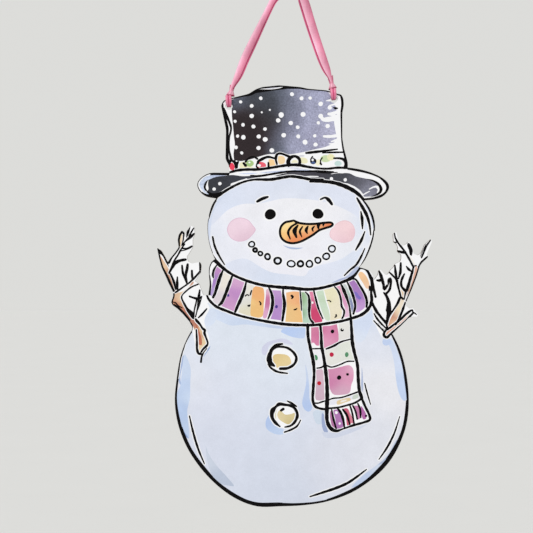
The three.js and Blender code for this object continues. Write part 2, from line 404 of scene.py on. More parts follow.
class Nodes:
    """A short way to build one material's nodes."""

    def __init__(self, name):
        self.material = bpy.data.materials.new(name)
        self.material.use_nodes = True
        self.tree = self.material.node_tree
        self.shader = self.tree.nodes["Principled BSDF"]
        self.place = self.add("ShaderNodeTexCoord").outputs["Object"]

    def add(self, kind, **values):
        node = self.tree.nodes.new(kind)
        for key, value in values.items():
            setattr(node, key, value)
        return node

    def link(self, source, target):
        self.tree.links.new(source, target)

    def stretched(self, stretch):
        mapping = self.add("ShaderNodeMapping")
        mapping.inputs["Scale"].default_value = stretch
        self.link(self.place, mapping.inputs["Vector"])
        return mapping.outputs["Vector"]

    def noise(self, size, detail=3.0, stretch=(1, 1, 1), roughness=0.55):
        """Cloudy values with blobs about `size` metres across."""
        node = self.add("ShaderNodeTexNoise")
        node.inputs["Scale"].default_value = 1 / size
        node.inputs["Detail"].default_value = detail
        node.inputs["Roughness"].default_value = roughness
        self.link(self.stretched(stretch), node.inputs["Vector"])
        return node.outputs["Fac"]

    def spread(self, value, low, high, start=0.3, end=0.7):
        """Maps a noise value from start..end to low..high."""
        node = self.add("ShaderNodeMapRange")
        numbers = (start, end, low, high)
        for socket, number in zip(("From Min", "From Max", "To Min", "To Max"), numbers):
            node.inputs[socket].default_value = number
        self.link(value, node.inputs["Value"])
        return node.outputs["Result"]

    def times(self, colour, value):
        node = self.add("ShaderNodeVectorMath", operation="SCALE")
        self.link(colour, node.inputs[0])
        self.link(value, node.inputs["Scale"])
        return node.outputs["Vector"]

    def blend(self, value, one, other):
        """From one colour to the other as the value goes from 0 to 1."""
        node = self.add("ShaderNodeMix", data_type="RGBA")
        for socket, colour in ((6, one), (7, other)):
            if isinstance(colour, tuple):
                node.inputs[socket].default_value = (*colour, 1)
            else:
                self.link(colour, node.inputs[socket])
        self.link(value, node.inputs["Factor"])
        return node.outputs[2]

    def bump(self, height, distance, strength=1.0):
        node = self.add("ShaderNodeBump")
        node.inputs["Distance"].default_value = distance
        node.inputs["Strength"].default_value = strength
        self.link(height, node.inputs["Height"])
        self.link(node.outputs["Normal"], self.shader.inputs["Normal"])

    def corner_colour(self, name):
        return self.add("ShaderNodeAttribute", attribute_name=name).outputs["Color"]

    def finish(self, colour=None, roughness=None, **fixed):
        if colour is not None:
            self.link(colour, self.shader.inputs["Base Color"])
        if roughness is not None:
            self.link(roughness, self.shader.inputs["Roughness"])
        for name, value in fixed.items():
            self.shader.inputs[name.replace("_", " ")].default_value = value
        return self.material


PRINT_SHINE = (0.42, 0.56)  # least and most roughness of the printed face
TOOTH = 0.9 * MM  # size of the print's fine grain
CLOUD = 14 * MM  # size of the paler and darker clouds in a wash


def printed(nodes, colour, gloss=0.25):
    tooth = nodes.noise(TOOTH, detail=2)
    nodes.bump(tooth, 0.02 * MM, 0.5)
    shine = nodes.spread(nodes.noise(5 * MM), *PRINT_SHINE)
    return nodes.finish(colour, shine, Specular_IOR_Level=gloss)


def plain_print(name, colour, mottle, gloss=0.25):
    """One printed colour, very slightly uneven."""
    nodes = Nodes(name)
    cloud = nodes.spread(nodes.noise(CLOUD), 0, 1)
    dark = tuple(c * (1 - mottle) for c in colour)
    light = tuple(min(1.0, c * (1 + mottle)) for c in colour)
    return printed(nodes, nodes.blend(cloud, dark, light), gloss)


def watercolour(name, grain, mottle, size):
    """The drawing's own colours, with clouds where the wash pooled and grains of pigment."""
    nodes = Nodes(name)
    clouds = nodes.spread(nodes.noise(CLOUD, detail=4), 1 - mottle, 1 + mottle)
    grains = nodes.spread(nodes.noise(size, detail=4, roughness=0.6), 1 - grain, 1 + grain)
    colour = nodes.times(nodes.corner_colour("pigment"), clouds)
    return printed(nodes, nodes.times(colour, grains))


# ---- the drawing: hat ------------------------------------------------------------

INK_HAT = "ink_hat"
BROWN_BLACK = (40, 29, 33)
CHARCOAL = (64, 68, 78)
SLATE = (92, 98, 114)
LILAC_GREY = (163, 165, 192)
PALE_LILAC = (184, 184, 210)

CROWN_DOTS = [
    (-48, 403, 1.6), (-37, 399, 1.9), (-28, 406.6, 1.8), (3, 410.6, 2), (12.5, 406.5, 2),
    (21, 406.8, 1.7), (31.5, 401, 2.3), (40.5, 397.3, 2.1), (14, 390.6, 2.5),
    (-54, 393.2, 1.5), (-37, 389, 2.2), (-27, 392.6, 1), (-19, 395, 1), (-7.7, 390, 2.7),
    (-10.7, 384.6, 2.2), (-53.5, 383.7, 1.6), (-45.6, 380.2, 1.8), (-35.3, 378.5, 2),
    (-23.8, 376, 1.8), (1.8, 382, 2.2), (8.7, 377.8, 1.9), (29.2, 382.2, 1.7),
    (38.4, 379, 2.2), (-51, 369, 1.6), (-45.3, 367.8, 2.3), (-30, 368.6, 2.1),
    (-23.6, 365.7, 2.4), (-5.2, 369.9, 2.3), (9.2, 368.7, 2), (25.6, 369.3, 1.7),
    (16, 363, 2.5), (26.4, 360.6, 2.1), (-52.5, 357.8, 1.8), (-30.2, 357.2, 2.1),
    (-17, 354.8, 2.3), (-46.9, 352.3, 1.6), (31.5, 388.8, 2.4),
]


def crown():
    fill = [
        (-57, 405, 0), (-48, 409), (-38, 411.5), (-25, 414), (-10, 416.2), (6, 417.4), (20, 416),
        (38, 414.2, 0), (42, 408), (46, 399), (47.5, 390), (45, 384), (46, 376), (48, 370), (46, 364),
        (38, 359), (24, 355.5), (10, 352.3), (-4, 350.5), (-20, 351), (-30, 348.5), (-38, 346),
        (-48, 344.2), (-54.5, 344.8, 0), (-55, 352), (-53.7, 360), (-54.6, 368), (-55.5, 378),
        (-56.7, 390),
    ]
    paint = pools(
        (-50, 352, 16, BROWN_BLACK), (-36, 362, 17, BROWN_BLACK), (-48, 380, 15, BROWN_BLACK),
        (-30, 376, 13, BROWN_BLACK), (-52, 404, 9, SLATE), (-34, 406, 11, CHARCOAL),
        (-16, 404, 13, CHARCOAL), (-20, 386, 11, (52, 52, 58)), (-12, 370, 9, (96, 99, 116)),
        (-14, 356, 9, SLATE), (2, 398, 12, (112, 116, 136)), (4, 384, 9, (120, 122, 144)),
        (20, 408, 15, LILAC_GREY), (40, 405, 13, LILAC_GREY), (22, 388, 14, LILAC_GREY),
        (8, 364, 13, LILAC_GREY), (40, 380, 14, PALE_LILAC), (28, 366, 13, (158, 157, 184)),
        (-2, 413, 8, (124, 128, 148)), (44, 364, 9, PALE_LILAC), (-8, 412, 6, SLATE),
    )
    wash("wash_crown", outline(fill), paint)
    # where the brush missed, towards the right side
    strokes = [
        [(46.5, 405.5, 1.4), (41, 404.6, 2), (37, 404, 0.8)],
        [(47, 401, 2.2), (43, 400, 1.6), (40, 399.4, 0.8)],
        [(48, 393, 3.2), (42, 390.8, 3.6), (39.5, 391, 3)],
        [(32.5, 387.4, 3), (34, 385.6, 4), (40, 385.8, 5), (48, 387.5, 6)],
        [(34.8, 368.8, 2.4), (40, 368.6, 2.8), (48, 369.4, 3)], [(42, 363.6, 1.2), (48, 365.2, 2.6)],
        [(40, 361.3, 1), (48, 361.6, 3)], [(45.8, 383, 2), (47.3, 377, 3), (48.6, 371, 4)],
    ]
    for points in strokes:
        bare(ribbon_of(points))
    for x, h, r in CROWN_DOTS:
        bare(oval(x, h, r))
    blot(INK_HAT, [(43.5, 397.6, 0), (46, 398), (49, 396.6), (46, 395.4)])
    # the edge on the left, and the second line beside it
    rim(INK_HAT, (-58, 338), (-67, 401), 2.2, 2, 1.6, 2.2, 2.4, 1.4)
    rim(INK_HAT, (-45.5, 409.6), (-27, 417.7), 1, 2.2, 2.2)
    rim(INK_HAT, (-67, 401), (-45.5, 409.6), 0.9, 0.4, 1.2)
    ink(
        INK_HAT, (-64.5, 396.5, 1.2), (-60.5, 386, 1.8), (-57.5, 377, 1.5), (-59.5, 366.5, 1.3),
        (-59.3, 355, 1.2), (-57.3, 345, 2.2), halo=0.6,
    )
    # the top, where the line swells and splits
    rim(INK_HAT, (-27, 417.7), (19, 416), 1.9, 1.9, 2.6, 1.6, 1)
    rim(INK_HAT, (19, 416), (48.5, 411), 0.9, 0.7, 0.9)
    blot(
        INK_HAT,
        [
            (-43, 409.6, 0), (-36, 414.4), (-30, 417, 0), (-22, 416.6), (-12, 417.6), (-4, 419),
            (8, 418.6, 0), (-2, 416), (-14, 414.4), (-25, 412.8), (-34, 411.4),
        ],
    )
    dab(
        BARE,
        [(-30.5, 415.6, 0), (-20, 416.7), (-10, 417.6), (-5.5, 417.8, 0), (-9.5, 416.5), (-18, 415.4)],
        None,
    )
    dab("wash_crown", [(-25, 416.2, 0), (-16, 416.9), (-8, 417.8, 0), (-16, 416.2)], (190, 190, 208))
    # the right side
    rim(INK_HAT, (48.5, 411), (53, 392), 1, 1.7, 1.7, 1.5)
    rim(INK_HAT, (53, 392), (53, 367), 1.4, 1.1, 1)
    rim(INK_HAT, (53, 367), (57, 347), 1, 1.2, 1.8)


def hat_band():
    ground = [
        (-59, 345, 0), (-50, 345), (-41, 346.5), (-34, 348.5), (-22, 350.5), (-13, 351.5), (0, 351),
        (16, 352), (36, 353.4), (55, 353.6, 0), (60, 334, 0), (30, 336.5), (5, 339.5), (-20, 337.5),
        (-40, 335), (-60, 333.5, 0),
    ]
    bare(outline(ground))
    band = "wash_hat_band"
    wash(band, oval(-45, 340.4, 4.6, 3), (240, 236, 200))
    wash(band, oval(-42, 337.6, 7, 1.4), (243, 236, 190))
    wash(
        band, oval(-38.7, 341.8, 3.9, 3.1),
        pools((-40, 343, 3, (160, 196, 128)), (-37, 340, 3, (178, 202, 138))),
    )
    wash(
        band, oval(-27.6, 339.8, 5, 3.6),
        pools((-25, 340, 3, (240, 100, 118)), (-31, 337.5, 3, (205, 40, 66))),
    )
    wash(
        band, [(-20, 345.8), (-14, 344.8), (-12.4, 341), (-13.8, 338.6), (-18.5, 338.4), (-19.5, 341)],
        (250, 212, 158),
    )
    wash(band, [(-10.4, 349), (-5, 348.6), (-3.8, 344), (-6, 341.2), (-10, 341.6)], (248, 218, 172))
    wash(band, oval(5.6, 343.2, 3.4, 2.2), (244, 240, 208))
    wash(band, [(11.6, 347.6), (17.5, 346.6), (18.6, 343), (16, 341.8), (12.2, 342.4)], (238, 234, 196))
    wash(band, oval(36.6, 346.6, 5.6, 3.4), (206, 222, 176))
    wash(band, oval(41.6, 348, 4, 3.2), (240, 236, 190))
    wash(band, oval(48.7, 341.8, 3.8, 2.6), (200, 224, 222))
    wash(band, [(26, 343.6), (30, 346), (31.4, 341), (28, 339.6)], (250, 244, 214))
    wash(band, oval(12.5, 349.3, 3.2, 0.8), (206, 206, 214))
    # dark blob at the left end, with half a red berry
    blot(
        INK_HAT,
        [
            (-61, 345, 0), (-56, 345.6), (-52.6, 344.3), (-49.6, 344), (-50.4, 340.5), (-51, 337),
            (-53.6, 336.4, 0), (-55, 342), (-57, 343.4), (-59, 341), (-60, 334, 0), (-62, 338),
        ],
    )
    dab(
        band,
        [(-58.8, 336.8), (-58.2, 341.4), (-56.2, 342.6), (-54, 338.6), (-54.6, 335.8), (-57, 335.2)],
        (238, 64, 92),
    )
    dab(BARE, oval(-52, 344.2, 0.9, 0.7), None)
    # the leaves' and berries' outlines
    ink(INK_HAT, (-45, 342, 1.8), (-43, 339.8, 2), halo=0)
    ink(INK_HAT, (-43, 343.6, 1.5), (-40, 347, 1.3), (-35.5, 348.6, 1.2), (-31.5, 346.5, 1.6), halo=0)
    ink(
        INK_HAT, (-31, 340.6, 1.2), (-30.6, 343.6, 2), (-27, 346, 2.1), (-21, 348.3, 1.8),
        (-14, 346.9, 1.4), halo=0,
    )
    ink(INK_HAT, (-29.8, 336.4, 1), (-32.2, 338.6, 1.3), (-31.6, 341.6, 1.2), halo=0)
    ink(INK_HAT, (-20.4, 342.6, 1.4), (-20.2, 337.4, 1.5), halo=0)
    ink(
        INK_HAT, (-12, 341.2, 1.3), (-13, 346, 1.8), (-12, 350.6, 1.9), (-9, 351.8, 1.6),
        (-2, 349.6, 1.7), (2, 347.8, 2), halo=0.5,
    )
    dab(BARE, oval(-29.7, 339.8, 1.9, 1.5), None)
    dab(BARE, oval(-39.2, 342.8, 1.1, 0.8), None)
    ink(
        INK_HAT, (-0.3, 340, 2.6), (-0.6, 344.6, 3), (2.2, 348, 2.4), (6, 349, 2), (10, 346.6, 2.2),
        (10.8, 343, 2.2), (9.9, 340, 2), halo=0,
    )
    ink(INK_HAT, (21.6, 345.6, 1), (22.4, 347.4, 1), (23.4, 348.6, 1), halo=0)
    blot(
        INK_HAT,
        [
            (24.2, 347.6, 0), (27, 345.6), (27, 342.6), (24.2, 341), (21.6, 342), (21, 344.6),
            (22.2, 347, 0),
        ],
    )
    dab(band, oval(24.2, 342.6, 2.2, 1.1), (72, 96, 146))
    dab(BARE, oval(23.5, 345.4, 1.2, 1.3), None)
    ink(INK_HAT, (33, 347.4, 0.9), (31.2, 344.6, 1), (31.6, 342.8, 0.8), halo=0)
    ink(INK_HAT, (31.2, 342, 1.4), (32.2, 340.8, 1.2), halo=0)
    ink(INK_HAT, (44.6, 347, 1.2), (50, 347, 1.6), (54.5, 346, 1.8), halo=0)
    blot(
        INK_HAT,
        [
            (50, 346.6, 0), (54, 347), (57.6, 346), (59, 342), (58.5, 337.5, 0), (54.2, 338), (55, 341),
            (54, 344),
        ],
    )
    # the two strokes over the band, and the line under it
    ink(INK_HAT, (17, 352.2, 1.6), (24, 353, 2), (36, 354.4, 1.6), (48, 356, 1), halo=0.5)
    ink(INK_HAT, (33.5, 352.4, 1), (42, 352.8, 1.3), (54, 353, 1.2), halo=0)
    ink(
        INK_HAT, (-60, 332.6, 1.6), (-52, 334.8, 2), (-42, 335.8, 2), (-32, 335.8, 2), (-20, 337.2, 1.9),
        (-8, 339.2, 1.9), (2, 340.4, 2.1), (10, 340.2, 2.2), (18, 338.6, 1.9), (28, 337.1, 1.5),
        (38, 336.6, 1.6), (48, 337.6, 1.7), (58.5, 337.4, 1.7), halo=0.5,
    )


def brim():
    bare(
        [
            (-62, 333), (-78, 333), (-88, 327), (-92, 319), (-86, 310), (-76, 307), (-66, 311),
            (-52, 319), (-35, 325), (-18, 326), (0, 328.5), (20, 325), (45, 322.5), (60, 318), (72, 309),
            (78, 305), (92, 307), (101, 318), (94, 328), (80, 334), (58, 338), (40, 337), (20, 339),
            (5, 340), (-20, 337.5), (-40, 335.5),
        ],
    )
    shade = (198, 208, 236)
    wash(
        "wash_brim",
        [
            (-89, 321), (-84, 328), (-75, 330.6), (-66, 330.4), (-62, 329.2), (-72, 328), (-82, 324),
            (-85, 318), (-80, 311.6), (-78, 310.6), (-84, 313),
        ],
        pools((-84, 322, 8, (206, 218, 242)), (-66, 330, 8, (190, 202, 232))),
    )
    wash(
        "wash_brim",
        [
            (-50, 331.6), (-38, 332.4), (-24, 332.2), (-8, 333.6), (6, 335.6), (18, 335.8), (24, 334.8),
            (14, 334.4), (-4, 334.8), (-20, 333.8), (-38, 331.2),
        ],
        shade,
    )
    wash("wash_brim", [(-4, 337.4), (6, 337.8), (14, 336.8), (6, 336.6)], (214, 216, 234))
    dark = pools(
        (-75, 320, 14, (50, 52, 60)), (-50, 327, 14, (56, 58, 68)), (-20, 328, 12, (34, 32, 38)),
        (10, 331, 14, (72, 70, 80)), (30, 331, 10, (62, 60, 70)), (50, 328, 12, (64, 66, 74)),
        (68, 324, 10, (94, 94, 106)), (80, 318, 10, (120, 120, 136)), (76, 313, 6, (150, 152, 170)),
    )
    wash(
        "wash_brim",
        [
            (-80, 325.6, 0), (-72, 328.6), (-64, 329.6), (-56, 330.4), (-46, 329.2), (-36, 329.6),
            (-24, 329, 0), (-40, 326.6), (-52, 323.6), (-57, 321.8), (-58, 319.6), (-66, 314.6),
            (-72, 312), (-79, 310.8), (-82, 313.8, 0), (-80, 316), (-80.4, 321),
        ],
        dark,
    )
    wash(
        "wash_brim",
        [
            (-15, 329.4, 0), (-6, 331.6), (4, 333.4), (20, 333.4), (32, 334.2), (44, 333.6), (52, 332.4),
            (60, 332), (66, 329.2), (78, 326.4), (86, 324.2), (90.6, 319.4), (91, 314.6), (88, 311.2),
            (80, 309), (74.6, 308.8, 0), (72.6, 312.6), (66, 318), (58, 321.6), (48, 323.6), (36, 323.8),
            (22, 325.2), (8, 328.6), (-4, 329),
        ],
        dark,
    )
    # light left at the right-hand end, and along the lower edge
    for points in (
        [(52, 322.6, 0.8), (60, 320.4, 1.8), (68, 315.6, 2.6), (72.5, 311, 2.6)],
        [(80, 316.4, 1.2), (84, 318.4, 1.4), (87.5, 318.6, 2.6), (89.4, 315.6, 2.6), (88, 313, 1.6)],
        [(73, 310.4, 1), (76.6, 312.4, 1.1), (80, 314.2, 0.9)],
        [(15, 328.8, 0.5), (22, 329, 1.1), (29, 328.8, 0.9)],
        [(42, 331.4, 0.5), (48, 332.6, 0.9), (54, 332.2, 0.4)],
        [(-57, 321, 2), (-50, 323.6, 1.8), (-42, 326.4, 1.2)], [(-64, 315.8, 0.9), (-57, 319.6, 1.4)],
        [(-67, 312.8, 1), (-74, 310.8, 0.8)],
    ):
        bare(ribbon_of(points))
    wash("wash_brim", [(-53, 322.4), (-46, 325), (-42, 326), (-48, 324.2)], (200, 216, 240))
    wash("wash_brim", [(60, 318.6), (66, 315.6), (71, 311.6), (66, 317)], (206, 220, 240))
    for x, h in ((-68.6, 321.8), (-74.3, 316.4), (42.2, 326.6), (55.9, 325.6)):
        bare(oval(x, h, 1.7))
    # lines
    rim(INK_HAT, (-72, 307.3), (-88, 313), 2.6, 1.8, 1)
    rim(INK_HAT, (-88, 313), (-78.5, 332.7), 0.7, 0.5, 0.7)
    rim(INK_HAT, (-78.5, 332.7), (-60.5, 332.6), 1.6, 1.7, 1.7)
    rim(INK_HAT, (58, 338), (91.5, 328.5), 1.6, 1.7, 1.5, 1.3)
    rim(INK_HAT, (91.5, 328.5), (98, 313.5), 1.4, 1.9, 2.2, 1.6)
    rim(INK_HAT, (98, 313.5), (74, 305.2), 1.5, 1.8, 1.4, 1.4)
    blot(
        INK_HAT,
        [
            (-80, 325.8, 0), (-83, 323.4), (-84.8, 318.8), (-83.4, 315), (-80.8, 314.2), (-82.6, 317.6),
            (-81.8, 321.6),
        ],
    )
    ink(INK_HAT, (-81, 313.6, 1.2), (-76, 311.2, 1.6), (-70, 312, 1.2), (-66, 314, 0.6), halo=0)
    blot(
        INK_HAT,
        [
            (76, 326.8, 0), (84, 325.4), (90, 322), (93, 316.6), (91.5, 312.4), (87, 309.8),
            (80, 308.4, 0), (86.6, 311.4), (89.8, 315), (89, 319), (85, 323),
        ],
    )
    ink(
        INK_HAT, (-72, 308.4, 2.2), (-64, 314, 2), (-58, 317.6, 1.9), (-50, 321.6, 1.7),
        (-42, 324.4, 1.5), (-34, 325.8, 1.6), (-18, 325.9, 2.2), (-8, 327.6, 2.2), (2, 329, 2.1),
        (12, 327.8, 2.2), (22, 326, 2), (34, 326.2, 1), halo=0.6,
    )
    ink(
        INK_HAT, (-38, 329.8, 1), (-30, 329.3, 1.6), (-20, 330.8, 1.5), (-8, 332.8, 1.6), (2, 334, 1.4),
        (16, 334, 1.3), (30, 334.2, 1.4), (44, 333.6, 0.8), halo=0,
    )
    ink(
        INK_HAT, (21, 323.8, 1.4), (32, 324, 2.2), (44, 322.8, 2.6), (56, 319, 3), (66, 313.6, 2.8),
        (72, 308.4, 2.2), (74, 305.8, 2), halo=0.6,
    )
    ink(INK_HAT, (28, 333.4, 1.2), (38, 332.4, 0.8), (48, 333, 0.6), halo=0)


# ---- the drawing: head and face ---------------------------------------------------

INK_HEAD = "ink_head"
SNOW = (241, 241, 249)
SNOW_BLUE = (226, 231, 247)
SNOW_SHADE = (215, 224, 244)


def cheek(points, rim_colour, paint):
    """A rosy spot, a little stronger round its edge."""
    edge = outline(points)
    middle = edge.mean(axis=0)
    wash("wash_cheeks", edge, rim_colour)
    wash("wash_cheeks", middle + (edge - middle) * 0.95, paint)


def head():
    edge = [
        (-74, 304), (-62, 315), (-48, 322), (-30, 326.5), (0, 330), (30, 325), (52, 320), (72, 307),
        (82, 292), (85, 274), (80, 256), (70, 240), (58, 229), (46, 223), (20, 217), (-20, 219),
        (-45, 226), (-66, 238), (-78, 258), (-81, 275), (-80, 290),
    ]
    wash(
        "wash_head", outline(edge),
        pools(
            (-20, 270, 40, SNOW), (20, 275, 40, SNOW), (0, 250, 36, (238, 238, 249)),
            (-50, 250, 18, (234, 237, 249)), (52, 250, 18, (236, 239, 249)),
            (-72, 275, 10, (232, 236, 249)), (75, 280, 12, (222, 229, 245)),
            (10, 300, 30, (243, 243, 247)),
        ),
    )
    forehead = [
        (-79, 290), (-72, 305), (-60, 315), (-44, 322), (-20, 327), (10, 329), (40, 322), (60, 315),
        (74, 302), (83, 288), (79, 276), (70, 287), (56, 296), (38, 303), (16, 306.5), (-6, 307),
        (-16, 305), (-30, 302), (-46, 301.5), (-60, 296), (-70, 287), (-78, 280),
    ]
    wash(
        "wash_head", outline(forehead),
        pools(
            (-60, 310, 18, (222, 229, 247)), (-35, 318, 16, SNOW_BLUE), (0, 318, 22, (222, 228, 245)),
            (40, 314, 18, SNOW_BLUE), (68, 300, 14, SNOW_BLUE), (0, 306, 14, (230, 234, 247)),
            (80, 284, 8, (222, 229, 246)), (-76, 288, 8, SNOW_BLUE),
        ),
    )
    chin = [
        (-66, 238), (-54, 246), (-42, 247), (-30, 240), (-18, 234), (0, 231.5), (16, 230.5), (20, 236),
        (28, 240), (40, 243), (52, 247), (66, 256), (74, 258), (78, 253), (70, 240), (58, 229), (46, 223),
        (20, 217), (-20, 219), (-45, 226),
    ]
    wash(
        "wash_head", outline(chin),
        pools(
            (-48, 234, 18, SNOW_BLUE), (-20, 226, 16, (218, 226, 244)), (10, 224, 16, (224, 230, 246)),
            (40, 232, 18, SNOW_BLUE), (64, 246, 12, (224, 231, 247)),
        ),
    )
    wash(
        "wash_head",
        [
            (-79.5, 292), (-74, 304), (-64, 313), (-60, 314), (-68, 305), (-75, 293), (-77.5, 280),
            (-78.5, 266), (-80.5, 276),
        ],
        SNOW_SHADE,
    )
    wash("wash_head", [(76, 268), (81.5, 272), (82, 286), (79, 296), (77, 282)], (226, 232, 248))
    # soft grey under the carrot, and the rosy cheeks
    wash(
        "wash_head", [(-6, 260.6), (0, 257.4), (8, 256.6), (14, 258.2), (8, 258.2), (0, 259)],
        (176, 190, 222),
    )
    cheek(
        [
            (-61.5, 276), (-58, 284), (-50, 288), (-41, 286), (-35.5, 280), (-33, 276.2), (-37, 270),
            (-43, 265.4), (-51, 264.4), (-58, 268),
        ],
        (226, 190, 212),
        pools(
            (-48, 280, 10, (243, 217, 232)), (-46, 267, 8, (231, 200, 218)),
            (-58, 274, 6, (241, 215, 230)), (-36, 276, 4, (236, 206, 222)),
        ),
    )
    cheek(
        [
            (44, 279), (50, 284), (57, 285.2), (63, 281.6), (65.8, 274), (63, 266), (56, 263.2),
            (47, 264.4), (41, 268.6), (40.4, 273),
        ],
        (236, 198, 208),
        pools(
            (55, 276, 11, (247, 216, 222)), (64, 272, 5, (236, 198, 208)), (46, 268, 6, (246, 216, 226)),
            (54, 265, 5, (236, 200, 212)),
        ),
    )
    # outline of the left side
    ink(INK_HEAD, (-71.5, 307.6, 1.2), (-75.5, 300, 1.6), (-78.3, 292, 1.2), (-79.4, 287, 0.6), halo=0.4)
    rim(INK_HEAD, (-79, 290), (-73, 306), 0.4, 0.9, 1.4)
    rim(INK_HEAD, (-77, 254), (-80, 289), 0.5, 0.3, 0.3, 0.5)
    ink(
        INK_HEAD, (-79.6, 261, 0.7), (-75, 249.5, 1.3), (-67, 239.4, 2.4), (-56.5, 231.8, 1.9),
        (-42.5, 225.6, 2.1), (-28, 221.4, 2.1), (-14, 219.4, 2.2), (2, 218.2, 2.6), (18, 216.8, 2.2),
        (30, 217.8, 2.1), (42, 220.6, 2), (54, 224.4, 2.1), (62, 228.2, 2.6), (67, 233.4, 2),
        (74, 244, 1.4), (79.8, 257, 1.2), (83.2, 268, 1.1), (84.4, 276, 0.9), halo=0.9,
    )
    ink(INK_HEAD, (-75.8, 269, 1.3), (-73.8, 260, 1.6), (-69.6, 250.6, 1.5), (-64, 241.4, 0.9))
    # outline and inner strokes of the right side
    rim(INK_HEAD, (75, 305), (85.3, 274), 1.2, 1.5, 1.6, 1)
    ink(
        INK_HEAD, (67.6, 307.4, 1.4), (72.6, 299, 2.3), (77, 291, 2.4), (79.8, 282, 1.7), (81.2, 271, 1),
        halo=1,
    )
    ink(INK_HEAD, (71.4, 294, 0.9), (72.6, 287, 2.2), (73, 277, 1), halo=0.9)
    ink(INK_HEAD, (75.4, 274.4, 0.8), (71.6, 265, 2), (66.4, 256, 1.2), halo=0.9)
    ink(
        INK_HEAD, (75.4, 257.6, 0.7), (71, 248, 1.6), (66.4, 240.8, 1.6), (61, 236.4, 1.4),
        (55, 230.6, 1), halo=0.7,
    )
    dab(
        "wash_head",
        [
            (42, 223), (50, 227), (57, 229.6), (62, 234.4), (67.4, 239.6), (69.4, 239), (65, 232.6),
            (61, 229.6), (54, 226.4), (48, 224.2),
        ],
        pools((50, 226, 6, (176, 186, 218)), (65, 237, 6, (186, 196, 224))),
    )


def ring(x, h, rx, ry, width, tilt=0):
    bare(oval(x, h, rx + width + 1.1, ry + width + 1.1, tilt), MARGIN)
    blot(INK_HEAD, oval(x, h, rx + width * 0.95, ry + width * 0.95, tilt))
    dab("wash_head", oval(x, h, rx - width * 0.65, ry - width * 0.65, tilt), (236, 240, 250))


def face():
    for x, h, rx, ry in ((-18.6, 291.3, 5.5, 5.3), (28.8, 291.8, 5.6, 4.9)):
        bare(oval(x, h, rx + 1.5, ry + 1.5), MARGIN)
        blot(INK_HEAD, oval(x, h, rx, ry))
    ink(INK_HEAD, (-31.6, 304, 1.7), (-26.4, 306.8, 2.4), (-21, 308.6, 1.5), halo=1.1)
    ink(INK_HEAD, (31.4, 306.2, 1.2), (36, 307.9, 1.6), (39.6, 305.4, 2.6), (42.6, 301.4, 1.8), halo=1.1)
    mouth = [
        (-37, 261.6, 2.7, 2.6, 1.0), (-33.6, 255.9, 1.7, 1.5, 1.5), (-28.4, 252.4, 1.9, 1.8, 1.2),
        (-21.3, 249.3, 2.4, 2.5, 1.3), (-11.2, 245.2, 3, 3, 1.4), (2.2, 242.2, 3.6, 3, 1.0),
        (11.4, 242.2, 2.7, 2.4, 1.4), (20.3, 242.1, 2.8, 3.2, 1.1), (28.7, 245.7, 2.7, 2.6, 1.1),
        (37, 249.6, 3.2, 2.8, 1.1), (42.7, 257.1, 3.3, 3, 1.0),
    ]
    for x, h, rx, ry, width in mouth:
        ring(x, h, rx, ry, width)


# From the carrot's edge, mm: the bare margin and the black line's outer side are outside it,
# the line's inner side is inside it
CARROT_MARGIN = 2.3
CARROT_OUTER = 1.15
CARROT_INNER = 1.2
CREASE_WEIGHT = 1.7  # how much heavier than written the creases are


def carrot():
    edge = outline([
        (5, 285.2, 0), (8, 283.4), (16, 281.9), (26, 281.9), (36, 283), (42, 283), (43.6, 281.4),
        (42, 279.6), (36, 277.6), (30, 275.4), (24, 271), (18, 267.4), (12, 264.4), (4, 262.6), (-3, 264),
        (-7.6, 268), (-9, 274), (-7.6, 279.6), (-3.6, 283.4), (1, 284.4),
    ])
    # Given twice, the first corner has no direction of its own and stays where it is
    edge = np.vstack([edge[:1], edge])
    out = normals(np.vstack([edge, edge[:1]]))[:-1]
    away = out if signed_area(edge) < 0 else -out
    bare(edge + away * CARROT_MARGIN, MARGIN)
    blot(INK_HEAD, edge + away * CARROT_OUTER)
    dab(
        "wash_carrot", edge - away * CARROT_INNER,
        pools(
            (-3, 279, 5, (254, 226, 160)), (3, 282, 4, (254, 226, 165)), (12, 279, 5, (250, 205, 140)),
            (20, 279, 5, (249, 208, 150)), (30, 279.5, 5, (240, 170, 120)),
            (40, 281.5, 5, (232, 135, 90)), (-5, 270, 5, (250, 200, 130)), (4, 265.5, 5, (236, 140, 88)),
            (14, 268, 5, (238, 150, 98)), (22, 273, 4, (240, 158, 106)), (4, 274, 5, (246, 186, 122)),
        ),
    )
    creases = [
        [(7.6, 282.4, 1.2), (2, 278.6, 1.3), (-0.8, 273.4, 1.5), (1.2, 267, 0.8)],
        [(8.8, 280.4, 1), (5.6, 275, 2.6), (7.4, 268.6, 1.1)],
        [(13.4, 279, 0.8), (10.8, 274.4, 1.4), (12.8, 268.8, 0.6)],
        [(18.8, 279.4, 0.9), (17, 275.4, 2), (18.2, 272.4, 0.7)],
        [(25.2, 279.4, 0.7), (23.2, 277, 1.3), (24, 274.4, 0.7)],
        [(31, 282, 1.1), (29, 279.8, 1.8), (29.4, 277, 1)],
        [(35.4, 282.8, 0.8), (34, 280.8, 1.1), (34.2, 279.6, 0.5)],
    ]
    for points in creases:
        line = ribbon_of([(x, h, width * CREASE_WEIGHT) for x, h, width in points])
        add_shape(LIGHT, INK_HEAD, line)
    ink(INK_HEAD, (4.2, 285.8, 0.7), (7.4, 284, 1.4), (11, 282.9, 1), halo=0)


# ---- the drawing: scarf -----------------------------------------------------------

INK_SCARF = "ink_scarf"


